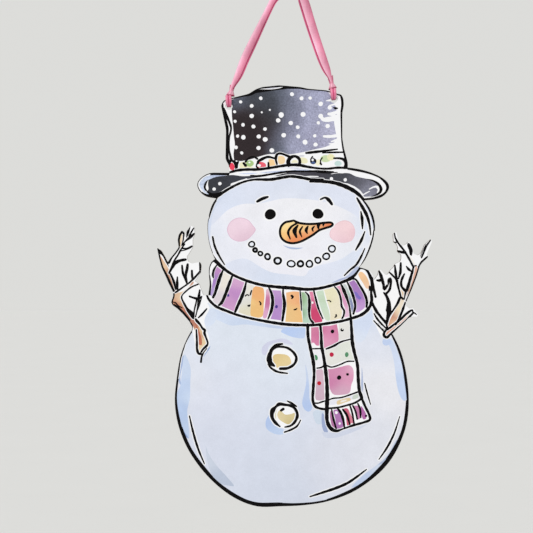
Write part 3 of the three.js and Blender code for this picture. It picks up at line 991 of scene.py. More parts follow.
def scarf():
    bare(
        [
            (-76, 247), (-80, 238), (-79.5, 222), (-82, 211), (-78, 204), (-68, 197), (-50, 190),
            (-30, 185), (-5, 181), (20, 180), (45, 183), (62, 188), (76, 193), (82, 200), (84, 212),
            (84, 228), (80, 236), (72, 239.5), (66, 232), (55, 224), (40, 219.5), (18, 216.5), (0, 218.5),
            (-20, 220), (-42, 226), (-64, 238),
        ],
    )
    fill = "wash_scarf"
    wash(
        fill,
        [
            (-71.6, 239.6, 0), (-66.6, 235.6, 0), (-70.6, 224), (-74.6, 209, 0), (-77.6, 210.6),
            (-76.6, 219), (-74.6, 230), (-73.6, 236),
        ],
        pools(
            (-70, 236, 5, (196, 144, 200)), (-73, 226, 5, (170, 132, 200)),
            (-76, 212, 5, (184, 160, 216)),
        ),
    )
    wash(
        fill,
        [
            (-65.2, 234.6, 0), (-57, 230, 0), (-62, 219), (-67.6, 206), (-70.2, 201.8, 0), (-76, 204.6),
            (-72, 211), (-68, 222),
        ],
        pools((-60, 228, 8, (238, 232, 224)), (-72, 205, 7, (224, 214, 222))),
    )
    wash(
        fill,
        [
            (-54.6, 229.4, 0), (-50, 227.6), (-44.2, 223.6, 0), (-47.6, 214), (-52.6, 202),
            (-54.8, 194.8, 0), (-61, 197.6), (-67.2, 200.4, 0), (-62, 210), (-58, 219),
        ],
        pools(
            (-50, 224, 6, (214, 168, 208)), (-52, 212, 6, (194, 142, 200)),
            (-60, 204, 6, (206, 156, 204)), (-58, 198, 4, (210, 160, 206)),
        ),
    )
    wash(
        fill,
        [
            (-41.2, 223.4, 0), (-36, 221.8), (-34, 218), (-37, 206), (-38, 192), (-38, 190.4),
            (-50.4, 194, 0), (-48, 202), (-43.6, 212),
        ],
        pools(
            (-40, 218, 7, (232, 228, 222)), (-44, 205, 6, (226, 224, 220)),
            (-42, 195, 6, (228, 222, 198)),
        ),
    )
    wash(
        fill,
        [
            (-35.2, 218.4), (-31, 220.4), (-26, 218.6), (-24.4, 212), (-25, 202), (-26.4, 190),
            (-31, 188.6), (-37.4, 190), (-38, 200), (-37, 210),
        ],
        pools(
            (-30, 214, 8, (240, 178, 118)), (-31, 194, 8, (240, 194, 128)),
            (-36.4, 204, 3, (244, 206, 140)),
        ),
    )
    wash(
        fill,
        [
            (-22.4, 216.6), (-20, 217), (-19, 210), (-19, 202), (-20.6, 194), (-23, 188), (-25.6, 188.4),
            (-24, 200), (-23, 210),
        ],
        pools(
            (-21, 205, 6, (204, 120, 164)), (-23, 191, 6, (224, 172, 206)),
            (-21, 215, 4, (232, 190, 210)),
        ),
    )
    wash(
        fill,
        [
            (-17, 216, 0), (-8, 215.6, 0), (-6.6, 206), (-7, 196), (-8, 186, 0), (-18.4, 187.4, 0),
            (-15.6, 196), (-15, 206),
        ],
        pools(
            (-12, 213, 5, (196, 156, 210)), (-11, 204, 6, (180, 138, 202)),
            (-13, 190, 6, (184, 142, 206)),
        ),
    )
    wash(
        fill,
        [
            (-2.8, 213.6, 0), (4, 214.8), (11, 214.4, 0), (12, 206), (12.4, 196), (13.8, 184, 0),
            (-3.6, 184.6, 0), (-2.6, 196), (-2.6, 206),
        ],
        pools(
            (0, 212, 7, (244, 190, 138)), (9, 208, 7, (240, 174, 124)), (0, 192, 8, (240, 200, 140)),
            (10, 192, 7, (242, 194, 132)),
        ),
    )
    wash(
        fill,
        [
            (12, 214, 0), (18, 213.4), (20.4, 208), (20, 197), (20.6, 188), (22, 183.4, 0),
            (14, 183.4, 0), (13.4, 196), (12.6, 206),
        ],
        pools(
            (13.4, 206, 3, (140, 176, 130)), (14, 192, 3, (140, 176, 140)), (18, 204, 4, (180, 208, 182)),
            (18, 190, 4, (186, 214, 196)),
        ),
    )
    wash(
        fill,
        [
            (20, 215, 0), (24.6, 215.2, 0), (26, 207), (28.6, 198), (32.6, 189), (33, 185), (30.4, 183.4),
            (25, 183.4), (22.4, 188), (21.6, 198), (21.6, 207),
        ],
        pools(
            (22, 212, 5, (228, 136, 170)), (24, 203, 4, (214, 96, 140)), (26, 190, 6, (206, 66, 110)),
            (28, 185, 4, (208, 72, 118)),
        ),
    )
    wash(
        fill,
        [
            (27, 214.6, 0), (34, 216.6, 0), (36.4, 206), (40.2, 193), (40.4, 186), (37, 186), (33.8, 192),
            (30, 203),
        ],
        pools(
            (30, 212, 6, (206, 224, 204)), (34, 208, 4, (196, 216, 188)), (38, 190, 5, (212, 226, 204)),
            (33, 200, 4, (206, 224, 204)),
        ),
    )
    wash(
        fill,
        [
            (34.6, 216.6, 0), (44.6, 218.8), (46.4, 217), (50, 209), (51.4, 201), (52.6, 196),
            (52, 188, 0), (41, 185.6, 0), (40.8, 194), (38, 205),
        ],
        pools(
            (40, 214, 7, (238, 232, 200)), (44, 200, 8, (238, 230, 206)), (47, 190, 6, (236, 226, 200)),
            (40, 206, 3, (230, 224, 180)),
        ),
    )
    wash(
        fill,
        [
            (46.4, 220, 0), (51, 221.2, 0), (55.4, 212), (58.8, 200), (60, 190, 0), (55, 189), (56, 196),
            (53.8, 203), (52, 212), (49.6, 217),
        ],
        pools(
            (50, 218, 4, (234, 170, 198)), (56, 205, 5, (224, 160, 198)), (57, 193, 5, (234, 194, 220)),
        ),
    )
    wash(
        fill,
        [
            (53, 221.8), (56, 222), (60, 214), (63, 205), (64.6, 196), (63, 193.6), (60.6, 203),
            (57.4, 212),
        ],
        pools(
            (56, 219, 4, (200, 208, 208)), (59.6, 212, 4, (180, 200, 190)), (62, 202, 5, (136, 144, 182)),
        ),
    )
    wash(
        fill,
        [
            (59, 225, 0), (63.6, 226.6), (66, 224.4), (71, 217), (76, 208), (76.4, 201), (74.6, 198),
            (68, 193.8), (66, 194.2), (66.8, 200), (65.6, 210), (62, 219),
        ],
        pools(
            (64, 222, 6, (172, 124, 192)), (70, 212, 6, (168, 126, 196)), (72, 200, 6, (196, 154, 212)),
            (68, 196, 4, (204, 170, 220)),
        ),
    )
    wash(
        fill,
        [
            (68.6, 233), (71.6, 234.4), (76, 231), (79.4, 224), (80, 218), (77, 217.6), (73.6, 223),
            (70, 228.6),
        ],
        pools(
            (72, 232, 4, (248, 204, 160)), (77, 226, 4, (240, 198, 156)), (78, 219, 4, (246, 206, 176)),
        ),
    )
    wash(fill, [(78.4, 216), (80.6, 214), (80, 204), (78.4, 202), (78.4, 209)], (232, 228, 230))
    for x, h, rx, ry in ((-60.4, 210.8, 1.2, 1.4), (-12.4, 199.6, 1.4, 1.7), (-61.4, 211, 0.6, 0.6)):
        wash(fill, oval(x, h, rx, ry), (70, 50, 140))
    wash(
        fill,
        [
            (65, 214.6), (67.6, 213.6), (69.6, 210.6), (72, 208.4), (70.4, 206.6), (67.6, 208.4),
            (65.6, 211.6),
        ],
        (130, 112, 196),
    )
    bare(oval(23.4, 203.6, 1, 1.2))
    separators = [
        [(-71.8, 240.8, 1), (-74.6, 236, 1.6), (-75.6, 230.6, 1.6), (-74.8, 228, 0.8)],
        [(-65.6, 235.6, 1.2), (-68.4, 229, 2.4), (-71, 221, 2.4), (-73.4, 213, 2), (-75.4, 208.8, 1.8)],
        [(-56, 231, 1.2), (-59, 223, 2.2), (-63.6, 210.6, 2.3), (-67, 203.4, 2.2), (-69.4, 201.2, 1.8)],
        [
            (-42.4, 224.4, 1.2), (-44.4, 216, 2.1), (-47.6, 207.4, 2.5), (-50.6, 201, 2.2),
            (-53.4, 194.6, 1.8),
        ],
        [(-20, 218.6, 1.2), (-17.4, 213, 2), (-16.2, 205, 2.3), (-17.4, 196, 2.2), (-20.8, 187.4, 1)],
        [(-5.8, 217.6, 1), (-5.8, 212, 1.7), (-4.4, 203, 2.4), (-5.6, 192, 1.9), (-6.6, 185.6, 1.6)],
        [(11, 216, 0.9), (12, 205, 1.3), (12.4, 196, 0.8)],
        [
            (16.4, 214, 1), (19.2, 211, 1.4), (20.4, 203, 2.2), (20, 194, 1.8), (21, 187.6, 1.5),
            (24, 183.6, 1.8),
        ],
        [(24.4, 216.6, 1), (26.6, 207.6, 1.5), (29.6, 197, 1.4), (33.6, 187.8, 1)],
        [
            (45.4, 219.4, 1), (49, 215, 1.6), (51.6, 207, 1.5), (52.4, 199.6, 1.5), (54.8, 195.6, 1.5),
            (54.2, 190.6, 1.4), (52.8, 188, 1.2),
        ],
        [
            (51.4, 222.6, 1), (54.4, 216, 2.4), (57.6, 208, 2), (60, 200, 1.3), (61, 192, 1.5),
            (61.6, 187.6, 1.6),
        ],
        [(57.6, 224.6, 1), (61, 217.6, 2), (64.4, 208, 2), (65.8, 200, 1.8), (64, 192.6, 1.6)],
        [
            (62.4, 227.4, 1.4), (66, 226.8, 1.4), (70, 221, 1.6), (75.4, 211.6, 1.9), (77.4, 204.6, 1.9),
            (77, 199.4, 1.6),
        ],
    ]
    for points in separators:
        ink(INK_SCARF, *points, halo=0.35)
    ink(INK_SCARF, (-76.6, 246.6, 1), (-73, 244.4, 2), (-70, 241.4, 2), (-66, 238.4, 2.4), halo=0.8)
    # the marks on the stripes
    marks = [
        [(-43.4, 210.2, 0.9), (-41.4, 211.6, 0.9), (-39.8, 210.6, 0.9)],
        [(-37, 215.8, 0.7), (-37.8, 213.6, 1.2), (-38.4, 211.4, 1)],
        [(-29.4, 204.8, 0.7), (-28, 203.2, 1.2), (-28.2, 201.6, 1.1)],
        [(2.6, 210.4, 1.6), (4, 209.6, 1.6), (2.8, 207.8, 1)],
        [(5.2, 196.6, 1.1), (7, 197, 1.1), (8, 198, 0.6)],
        [(37.8, 205.6, 0.5), (39.8, 205.9, 0.7), (41.4, 204.6, 1.1)],
        [(46.8, 191.4, 1.2), (47, 190.2, 1.3), (45.6, 189, 0.7)],
        [(-40.4, 200.6, 1.4), (-39.4, 200.4, 1.4), (-38.6, 201.6, 0.5)],
    ]
    for points in marks:
        ink(INK_SCARF, *points, halo=0)
    # outer lines
    ink(
        INK_SCARF, (-81.5, 211, 1.2), (-80, 207.4, 1.8), (-76.4, 203.2, 1.9), (-72, 199.6, 2),
        (-62, 195.4, 2), (-50, 191, 1.8), (-38, 188, 1.8), (-26, 185.6, 2), (-12, 183.2, 2.2),
        (0, 181.8, 2.2), (14, 181.3, 2), (28, 181.6, 2), (42, 183.6, 2), (52, 185.2, 1.9), (62, 188, 2),
        (72, 191.6, 2.2), (78, 196.4, 2.4), (81.4, 201.6, 2), halo=0.8,
    )
    rim(INK_SCARF, (-80.5, 210.5), (-79.5, 231), 1.6, 1.2, 0.8)
    rim(INK_SCARF, (-79.5, 231), (-76, 246), 0.5, 0.6, 0.9)
    ink(
        INK_SCARF, (70.6, 238.4, 1.6), (76.4, 236.6, 1.7), (80.4, 230.4, 2.2), (82.6, 222, 2.2),
        (81.6, 214, 1.8), (82.2, 206, 2.4), (80.6, 199.6, 2), halo=0.8,
    )
    ink(INK_SCARF, (80.2, 219.6, 1.6), (80, 216, 1), halo=0)


def scarf_tail():
    bare(
        [
            (17, 181, 0), (18.5, 170), (22, 156), (24.5, 138), (24, 118), (23, 104), (25, 100),
            (36, 98, 0), (37, 86), (40, 78), (47, 76), (62, 80), (78, 85), (82, 90), (76, 100), (71, 112),
            (69, 128), (68, 142), (64, 156), (62.5, 170), (62, 186, 0),
        ],
    )
    tail = "wash_scarf_tail"
    wash(
        tail,
        [
            (22, 179.4, 0), (29.4, 179.6, 0), (30.6, 168), (30.8, 161.6), (27.4, 161), (25, 163.4),
            (23.4, 164), (22, 160.4), (22, 170),
        ],
        pools(
            (25, 177, 5, (214, 130, 164)), (28, 170, 5, (208, 116, 158)), (24, 165, 5, (220, 134, 172)),
        ),
    )
    wash(
        tail,
        [
            (33.4, 181, 0), (40, 180.6), (47.6, 182.4, 0), (49.2, 172), (48.6, 164.4), (42, 160.6),
            (36, 158), (33.4, 158.4), (32.4, 164), (32.8, 172),
        ],
        pools(
            (40, 176, 7, (220, 138, 178)), (36, 163, 6, (226, 158, 190)), (47, 178, 4, (214, 126, 164)),
            (34, 176, 3, (212, 120, 160)),
        ),
    )
    wash(
        tail, [(49.4, 182.6, 0), (60.4, 185.4, 0), (61.6, 176), (61.4, 168.4), (56, 167.6), (50.4, 165)],
        (230, 228, 226),
    )
    wash(
        tail,
        [
            (35, 156), (38, 157.2), (46, 160.4), (54, 165), (60.4, 166.4), (61.4, 158), (63, 151),
            (64.6, 147.4), (56, 146.6), (46, 142.4), (40, 141.4), (36.4, 142),
        ],
        pools((42, 150, 9, (230, 230, 226)), (57, 158, 8, (226, 230, 222))),
    )
    wash(
        tail, [(24, 156.6), (30.6, 156.6), (32.4, 149), (34, 141.6), (27, 141.4), (26.6, 149)],
        (240, 240, 246),
    )
    wash(
        tail,
        [
            (37, 136.6), (44, 138), (52, 140), (60, 141.4), (63.6, 138), (64, 128), (62, 122), (60, 114),
            (52, 112), (44, 112.6), (40.6, 118), (39, 127),
        ],
        pools(
            (48, 134, 8, (214, 144, 182)), (44, 124, 6, (206, 128, 172)), (56, 130, 7, (222, 158, 190)),
            (50, 116, 7, (214, 170, 194)), (62, 138, 4, (224, 176, 200)),
        ),
    )
    wash(
        tail,
        [
            (27.6, 137), (33, 137.4), (34.6, 127), (35, 115), (35, 107.6), (27, 107.2), (26.6, 118),
            (27.2, 128),
        ],
        pools((30, 132, 6, (214, 182, 200)), (31, 112, 7, (208, 178, 196))),
    )
    wash(
        tail,
        [
            (40.6, 102), (48, 103), (57, 105), (66, 108.6), (69.6, 108.4), (68.6, 113), (60, 111),
            (52, 108.6), (44, 107.6), (40.4, 106.6),
        ],
        (232, 232, 244),
    )
    wash(
        tail, [(48, 102.4), (56, 104.6), (61.4, 106.8), (60.6, 109), (53, 107.8), (47.6, 105.6)],
        (228, 206, 164),
    )
    wash(tail, [(51, 104.6), (56.6, 106), (57.6, 107.2), (52, 106.4)], (240, 236, 232))
    wash(tail, [(63, 107.6), (69, 109.6), (68.6, 112.8), (64, 112)], (204, 214, 204))
    fringe = [
        ([(41, 95.6), (43, 96.6), (44.8, 86), (46, 79.4), (43.6, 79.4), (41.4, 86)], (176, 112, 160)),
        ([(44.4, 97), (49, 98), (52.4, 90), (54, 80.6), (47.6, 78.6), (46, 88)], (178, 120, 180)),
        ([(54.4, 98), (58, 98.6), (61.6, 90), (61, 82.4), (58, 81.4), (56.6, 90)], (204, 96, 124)),
        ([(59, 96.6), (62.4, 90.6), (64.4, 84.6), (62.4, 83.6), (60.4, 90)], (214, 130, 150)),
        ([(64, 100.6), (68.6, 101), (70.4, 93), (70, 88), (67.6, 88), (65.6, 94)], (196, 126, 170)),
        ([(71.6, 101), (74, 98), (76.8, 92.4), (76.6, 88.6), (74, 87.6), (72, 92)], (180, 106, 170)),
        ([(72, 105.4), (75, 103.6), (76.6, 99), (74.6, 98)], (214, 216, 236)),
    ]
    for points, colour in fringe:
        wash(tail, outline(points), colour)
    for x, h, r in ((47, 94.4, 1.5), (50.4, 83.6, 1.2), (52.4, 93.6, 0.5)):
        bare(oval(x, h, r))
    wash(tail, oval(42.4, 152, 2.2, 2.2), (190, 26, 66))
    wash(tail, oval(30, 123.6, 2.1, 2), (190, 20, 44))
    wash(tail, oval(57.4, 152, 1.8, 2.6), (84, 142, 104))
    wash(tail, oval(26.6, 149, 2, 3, 15), (76, 146, 100))
    # black spots and marks
    for x, h, r in (
        (43.2, 175, 1.9), (52.8, 176.6, 1.7), (49.8, 129.2, 2.2), (58.2, 132.4, 1.4), (76.6, 91.2, 1.2),
    ):
        blot(INK_SCARF, oval(x, h, r))
    dab(tail, oval(53.2, 177.4, 0.8), (228, 226, 224))
    # the long edges
    ink(
        INK_SCARF, (18.6, 181.6, 2.2), (19, 170, 2.2), (21.4, 158, 2.3), (24, 146, 2.6), (25, 134, 2),
        (24.2, 120, 2.2), (23.8, 106, 2), (26, 100.6, 2), (32, 98.2, 1.7), (38, 97.8, 1.9), halo=0.6,
    )
    ink(
        INK_SCARF, (31.2, 180.6, 1.7), (32, 172, 1.9), (32.4, 161, 2.4), (34.4, 150, 2.2),
        (36.2, 138, 2.6), (37.6, 124, 2.6), (38, 110, 2.9), (37.6, 96, 2.9), (38, 86, 2.6),
        (41, 79.4, 2.9), (46.6, 76.2, 2.2), (54, 78.4, 1.2), (64, 81.8, 1.8), (74, 84.6, 1.7),
        (80.4, 87.4, 2), (80, 91.4, 1.9), (76, 100, 1.9), (72.4, 108.4, 1.9), halo=0.6,
    )
    ink(
        INK_SCARF, (61.4, 188, 1.9), (62.2, 176, 2.2), (63, 164, 2.6), (65, 154, 2.4), (68, 142, 2.3),
        (68.8, 128, 2.4), (70, 116, 2.4), (72.2, 109.4, 2.6), halo=0.6,
    )
    # the cross lines
    for points in (
        [(37, 157.6, 1.2), (44, 160.4, 1.7), (52, 164.8, 1.3), (60.6, 167.2, 1)],
        [(23.6, 157.8, 1), (31.6, 158, 1.1)],
        [
            (28, 138.6, 1.1), (32, 139.2, 1.2), (36, 141.4, 1.2), (42, 139.6, 1.1), (50, 141.8, 1.1),
            (58, 145.2, 1.1), (64.4, 145.4, 1),
        ],
        [(38.4, 106.4, 1), (43, 108.4, 1.1), (52, 109.4, 1.1), (62, 112.6, 1.2), (70.6, 115.8, 1.2)],
        [(38, 98.6, 1.4), (48, 99.4, 1.4), (58, 101.8, 1.4), (66, 104.4, 1.5), (72, 108.2, 1.7)],
        [(24.6, 104, 1), (29, 103.8, 1.1), (32.4, 105, 1.2), (36.6, 106.2, 1)],
    ):
        ink(INK_SCARF, *points, halo=0.7)
    # the fringe's lines
    for points in (
        [(42.4, 97.4, 1.1), (44, 89, 1.6), (46.8, 78.6, 1.2)],
        [(48.4, 98.6, 1.5), (51.6, 94, 1.9), (54, 86.6, 1.8), (55, 80, 1.2)],
        [(53.6, 97.4, 1.5), (57.4, 92, 1.8), (60.4, 82.8, 1.2)],
        [(60.6, 101.4, 1.2), (62.6, 95, 1.4), (64.6, 83.6, 1.2)],
        [(63.4, 101.4, 1.1), (66, 96, 1.4), (67.8, 88, 1.2)],
        [(68.4, 103.4, 1.1), (70.6, 98, 1.6), (71.2, 89.6, 1.2)],
    ):
        ink(INK_SCARF, *points, halo=0)


# ---- the drawing: body and buttons ------------------------------------------------

INK_BODY = "ink_body"
PALE_BLUE = (206, 220, 244)


def body():
    edge = [
        (-96, 180), (-107, 154), (-112, 128), (-113.6, 104), (-109.6, 80), (-98.5, 54), (-79, 28),
        (-55, 9), (-32, 0), (-8, 0), (15, 1), (39, 5), (68.5, 17), (98.5, 43), (115.5, 76), (120, 107),
        (114, 150), (102, 176), (84, 200), (60, 205), (0, 205), (-76, 205), (-90, 195),
    ]
    wash(
        "wash_body", outline(edge),
        pools(
            (-60, 170, 34, (224, 231, 244)), (-70, 120, 34, (222, 226, 241)),
            (-20, 130, 34, (224, 231, 244)), (-60, 60, 34, (217, 222, 238)),
            (-20, 40, 34, (214, 220, 236)), (0, 90, 30, (219, 225, 241)), (40, 50, 34, (221, 224, 237)),
            (80, 60, 28, (226, 228, 238)), (90, 120, 24, (235, 235, 242)), (84, 160, 20, (226, 230, 243)),
            (0, 15, 26, (210, 216, 232)), (-95, 130, 16, (232, 235, 246)), (60, 90, 22, (224, 227, 240)),
            (76, 190, 14, (214, 224, 244)),
        ),
    )
    body_wash = "wash_body"
    # under the scarf
    wash(
        body_wash,
        [
            (-79, 197), (-70, 196.6), (-56, 191), (-40, 186.6), (-20, 182.6), (0, 180.6), (16, 180.4),
            (16, 176), (4, 176.6), (-12, 178), (-28, 180), (-44, 182), (-58, 181), (-70, 186), (-80, 190),
        ],
        pools(
            (-70, 190, 12, (214, 225, 246)), (-45, 185, 14, (207, 220, 244)),
            (0, 178, 14, (198, 210, 236)),
        ),
    )
    wash(
        body_wash,
        [
            (-4, 178.6), (6, 179.4), (15.6, 179.6), (16, 171), (15, 168.4), (4, 169.4), (-3, 172),
            (-8, 175),
        ],
        pools((5, 175, 10, (188, 208, 246)), (12, 170, 5, (200, 216, 246))),
    )
    wash(
        body_wash, [(-87, 189), (-80, 197.6), (-72, 193), (-74, 184), (-80, 180), (-84, 182)],
        pools((-78, 190, 8, (218, 228, 247)), (-84, 184, 5, (222, 230, 247))),
    )
    wash(
        body_wash,
        [
            (-27, 158), (-22, 164), (-14, 166.6), (-6, 168), (0, 166), (4, 162), (-4, 163), (-14, 163.6),
            (-20, 160), (-22, 152), (-26, 152),
        ],
        (212, 214, 236),
    )
    # the left edge
    wash(
        body_wash,
        [
            (-105, 151), (-103.6, 151), (-106, 140), (-108, 130), (-107, 121), (-109, 124), (-110, 132),
            (-108.6, 142),
        ],
        (170, 188, 224),
    )
    wash(
        body_wash,
        [
            (-103.6, 152), (-98, 140), (-98, 124), (-98.4, 109), (-101, 96), (-100, 84), (-99.4, 69),
            (-103.4, 74), (-109, 84), (-112, 98), (-111, 114), (-108, 121), (-106.6, 132),
        ],
        pools(
            (-104, 140, 8, PALE_BLUE), (-104, 115, 9, (196, 213, 242)), (-108, 96, 8, (186, 205, 238)),
            (-102, 74, 8, (192, 210, 240)), (-99, 110, 5, (208, 222, 244)),
        ),
    )
    wash(body_wash, [(-107, 78), (-103, 74), (-99.4, 68.6), (-104, 72)], (150, 172, 214))
    wash(
        body_wash,
        [
            (-82.4, 61), (-80, 54), (-72, 42), (-62, 31), (-54.6, 21.4), (-58, 21.6), (-68, 24),
            (-76, 32), (-80, 42), (-82, 52),
        ],
        pools(
            (-78, 48, 9, (204, 212, 228)), (-66, 28, 10, (190, 200, 220)), (-58, 23, 5, (186, 196, 216)),
        ),
    )
    # round the scarf's tail
    wash(
        body_wash,
        [
            (16.4, 142), (18.6, 134), (20, 120), (20.4, 108), (23, 99), (20, 95.4), (16, 97), (13.2, 103),
            (14.6, 112), (17, 124),
        ],
        pools(
            (18, 115, 8, (190, 207, 240)), (18, 100, 7, (184, 204, 242)), (18, 136, 7, (204, 216, 240)),
        ),
    )
    wash(
        body_wash, [(24, 95), (30, 97.6), (36, 97), (36, 90), (33.6, 84), (28, 83), (25, 88)],
        (208, 220, 236),
    )
    wash(
        body_wash, [(33, 94), (35, 92), (36, 84), (38.4, 77), (38.6, 75), (35, 75.4), (33, 80)],
        (158, 172, 208),
    )
    wash(
        body_wash,
        [
            (33, 75), (40, 74.6), (46, 74.4), (56, 77), (68, 80), (78, 83), (70, 78), (58, 73),
            (46, 69.4), (36, 69.8),
        ],
        (210, 216, 234),
    )
    wash(
        body_wash, [(72.4, 139.6), (72, 130), (71.6, 120), (72.4, 114), (73.6, 118), (73.4, 130)],
        (178, 190, 220),
    )
    wash(
        body_wash,
        [(63.6, 186), (72, 191), (80, 196), (84, 190), (80, 178), (74, 166), (68, 164), (65, 174)],
        pools((72, 186, 10, (214, 224, 246)), (68, 168, 7, (222, 230, 246))),
    )
    # right edge
    wash(
        body_wash,
        [
            (96, 168), (102, 166.6), (108, 154), (113, 142), (117, 124), (117, 108), (114.6, 106),
            (112, 108), (108.6, 116), (106, 130), (104.4, 144), (101, 158),
        ],
        pools(
            (108, 148, 9, (212, 223, 246)), (112, 120, 9, (198, 214, 244)),
            (100, 165, 5, (206, 220, 246)),
        ),
    )
    wash(body_wash, [(94, 168), (99, 169), (101, 163), (96, 161), (93, 163)], (196, 212, 244))
    # lower right, along the edge
    wash(
        body_wash,
        [
            (107, 67), (109.6, 66), (104, 54), (94, 44), (82, 31), (69, 22), (62, 20), (66, 25), (76, 34),
            (88, 43), (98, 52),
        ],
        pools((104, 58, 8, (190, 202, 226)), (90, 42, 8, (206, 216, 236)), (72, 27, 9, (192, 206, 234))),
    )
    wash(
        body_wash, [(88.6, 42.6), (94, 44.6), (100, 50), (105.6, 58), (102, 56), (95, 48.6)],
        (176, 188, 214),
    )
    # the outline
    rim(INK_BODY, (-111.5, 130), (-97, 174), 0.8, 0.6, 0.9)
    ink(
        INK_BODY, (-101.4, 168, 1), (-105.4, 158, 1.9), (-108.6, 147, 2.1), (-110.2, 134, 1.7),
        (-111.4, 124, 1.4), halo=0.6,
    )
    rim(INK_BODY, (-109.3, 80), (-111.5, 130), 2.2, 1.9, 1.6, 1.4)
    rim(INK_BODY, (-79, 29.5), (-109.3, 80), 2.6, 2.8, 2.3)
    rim(INK_BODY, (-8, 1.4), (-79, 29.5), 2.6, 3, 2.6, 2.6)
    rim(INK_BODY, (39, 6.5), (-8, 1.4), 1.4, 1.4, 2, 2.4)
    rim(INK_BODY, (98.5, 44), (39, 6.5), 3, 2.5, 1.8)
    rim(INK_BODY, (119, 107.5), (98.5, 44), 2, 2.6, 3.2)
    rim(INK_BODY, (103, 172), (119, 107.5), 1.2, 1.9, 2, 1.6)
    ink(INK_BODY, (-19.8, 4.4, 1), (-8, 3.2, 1.6), (6, 2.9, 1.6), (20, 3.2, 1.4), (32, 5, 1), halo=0)
    ink(INK_BODY, (-98.8, 91, 1), (-95.4, 76, 1.6), (-90, 58, 1.6), (-84, 43.6, 0.9), halo=0.9)
    ink(
        INK_BODY, (21, 11, 1.1), (34, 15.2, 1.8), (47, 19.6, 2.1), (58, 24.4, 2), (67, 30.4, 1.7),
        (77, 38, 0.9), halo=0.9,
    )
    ink(INK_BODY, (110, 90.6, 0.7), (104.6, 74, 1.4), (97.6, 60, 1.6), (89.4, 48, 0.8), halo=1)
    ink(INK_BODY, (75.2, 123.6, 0.9), (77.6, 114, 1.2), (81, 102.6, 0.8), halo=0.8)
    # the shoulder by the left arm, and the strokes beside the arm
    ink(INK_BODY, (-90, 188.6, 1), (-86, 192.4, 1.6), (-81.6, 197.6, 0.9), halo=0.8)
    ink(INK_BODY, (-87.4, 144.6, 1.4), (-86.6, 150, 1.4), (-84.6, 154.4, 1), (-81.6, 158, 0.7), halo=0)
    wash(
        body_wash, [(-87, 144), (-84.6, 149), (-83, 155), (-78, 160.6), (-79, 157.6), (-83, 152)],
        (158, 178, 218),
    )
    bare(ribbon_of([(-79.6, 198.2, 2), (-88.6, 189, 2)]), MARGIN)


def buttons():
    bare(oval(-7.6, 148.4, 15.2, 12))
    wash(
        "wash_buttons",
        [
            (-16.4, 146), (-15, 151.6), (-8, 152.6), (-1, 151), (2, 146.4), (1.6, 141), (-3, 139),
            (-10, 138.6), (-15, 141),
        ],
        pools(
            (-9, 147, 8, (230, 206, 150)), (-4, 142, 6, (236, 214, 164)), (-12, 151, 4, (220, 194, 138)),
        ),
    )
    ink(
        INK_BODY, (-8.6, 138, 2.2), (-1, 138.6, 2), (5.4, 142.8, 1.9), (7.4, 148.4, 2), (5, 153.6, 1.9),
        (-1, 158.4, 1.8), (-8, 159.8, 1.6), (-14, 158.8, 1.6), (-18, 154.6, 2.3), (-19.6, 149, 3.8),
        (-18.6, 144, 3.5), (-14.6, 140.8, 1.6), halo=1,
    )
    ink(INK_BODY, (-18.6, 155.6, 1.6), (-15, 159.6, 2.4), (-11, 161.8, 2.2), (-6.6, 162.6, 1.4), halo=0.6)
    ink(
        INK_BODY, (-20.8, 142.6, 1.1), (-17.6, 138.6, 1.6), (-11.4, 135, 1.6), (-1.6, 133.4, 1.1),
        halo=0.8,
    )
    wash(
        "wash_body",
        [
            (-17, 97), (-20, 92), (-23, 86), (-22.4, 79), (-16, 74), (-8, 72.6), (-3, 75), (-8, 79),
            (-13, 83), (-16, 89),
        ],
        pools((-20, 86, 7, (182, 202, 240)), (-12, 76, 7, (192, 210, 240))),
    )
    bare(oval(-4.2, 91, 14, 12.6))
    wash(
        "wash_buttons",
        [
            (-11.6, 93), (-9, 97), (-4, 92.6), (2, 93), (6.6, 94.4), (8, 90), (5, 85), (0, 82.6),
            (-6, 85), (-10.4, 88.6),
        ],
        pools(
            (-8, 90, 6, (226, 210, 168)), (0, 88, 7, (214, 198, 148)), (5, 92, 4, (222, 206, 160)),
            (0, 84, 3, (204, 186, 136)),
        ),
    )
    wash("wash_buttons", [(-16, 90), (-14.6, 97), (-11, 100.4), (-12.6, 94), (-13, 88)], (226, 222, 196))
    ink(
        INK_BODY, (-9, 80.6, 1.2), (-13.6, 84.6, 2.3), (-16.8, 90, 2.4), (-16.4, 96, 3.5),
        (-12.6, 100.6, 1.9), (-9.6, 102.8, 2.7), (-4, 102.2, 1.9), (2.6, 101, 2.2), (6.6, 97.4, 2),
        (8.4, 91.6, 2.2), (6, 85.4, 2), (1.6, 81.4, 1.6), (-4, 80, 1.1), halo=1,
    )
    ink(INK_BODY, (-7.8, 96.6, 1.9), (-5.6, 98, 1.9), halo=0)
    ink(INK_BODY, (-1.8, 106, 0.9), (3, 103.6, 1.6), (7.4, 100.6, 1.1), halo=0.6)
    ink(INK_BODY, (-4.4, 75, 1.1), (2, 77.4, 1.5), (8, 81, 1.4), (11.6, 87, 0.8), halo=0.8)


# ---- the drawing: twig arms -------------------------------------------------------

RUST = (188, 126, 106)
TAN = (222, 188, 158)
BARK_CREAM = (240, 216, 182)


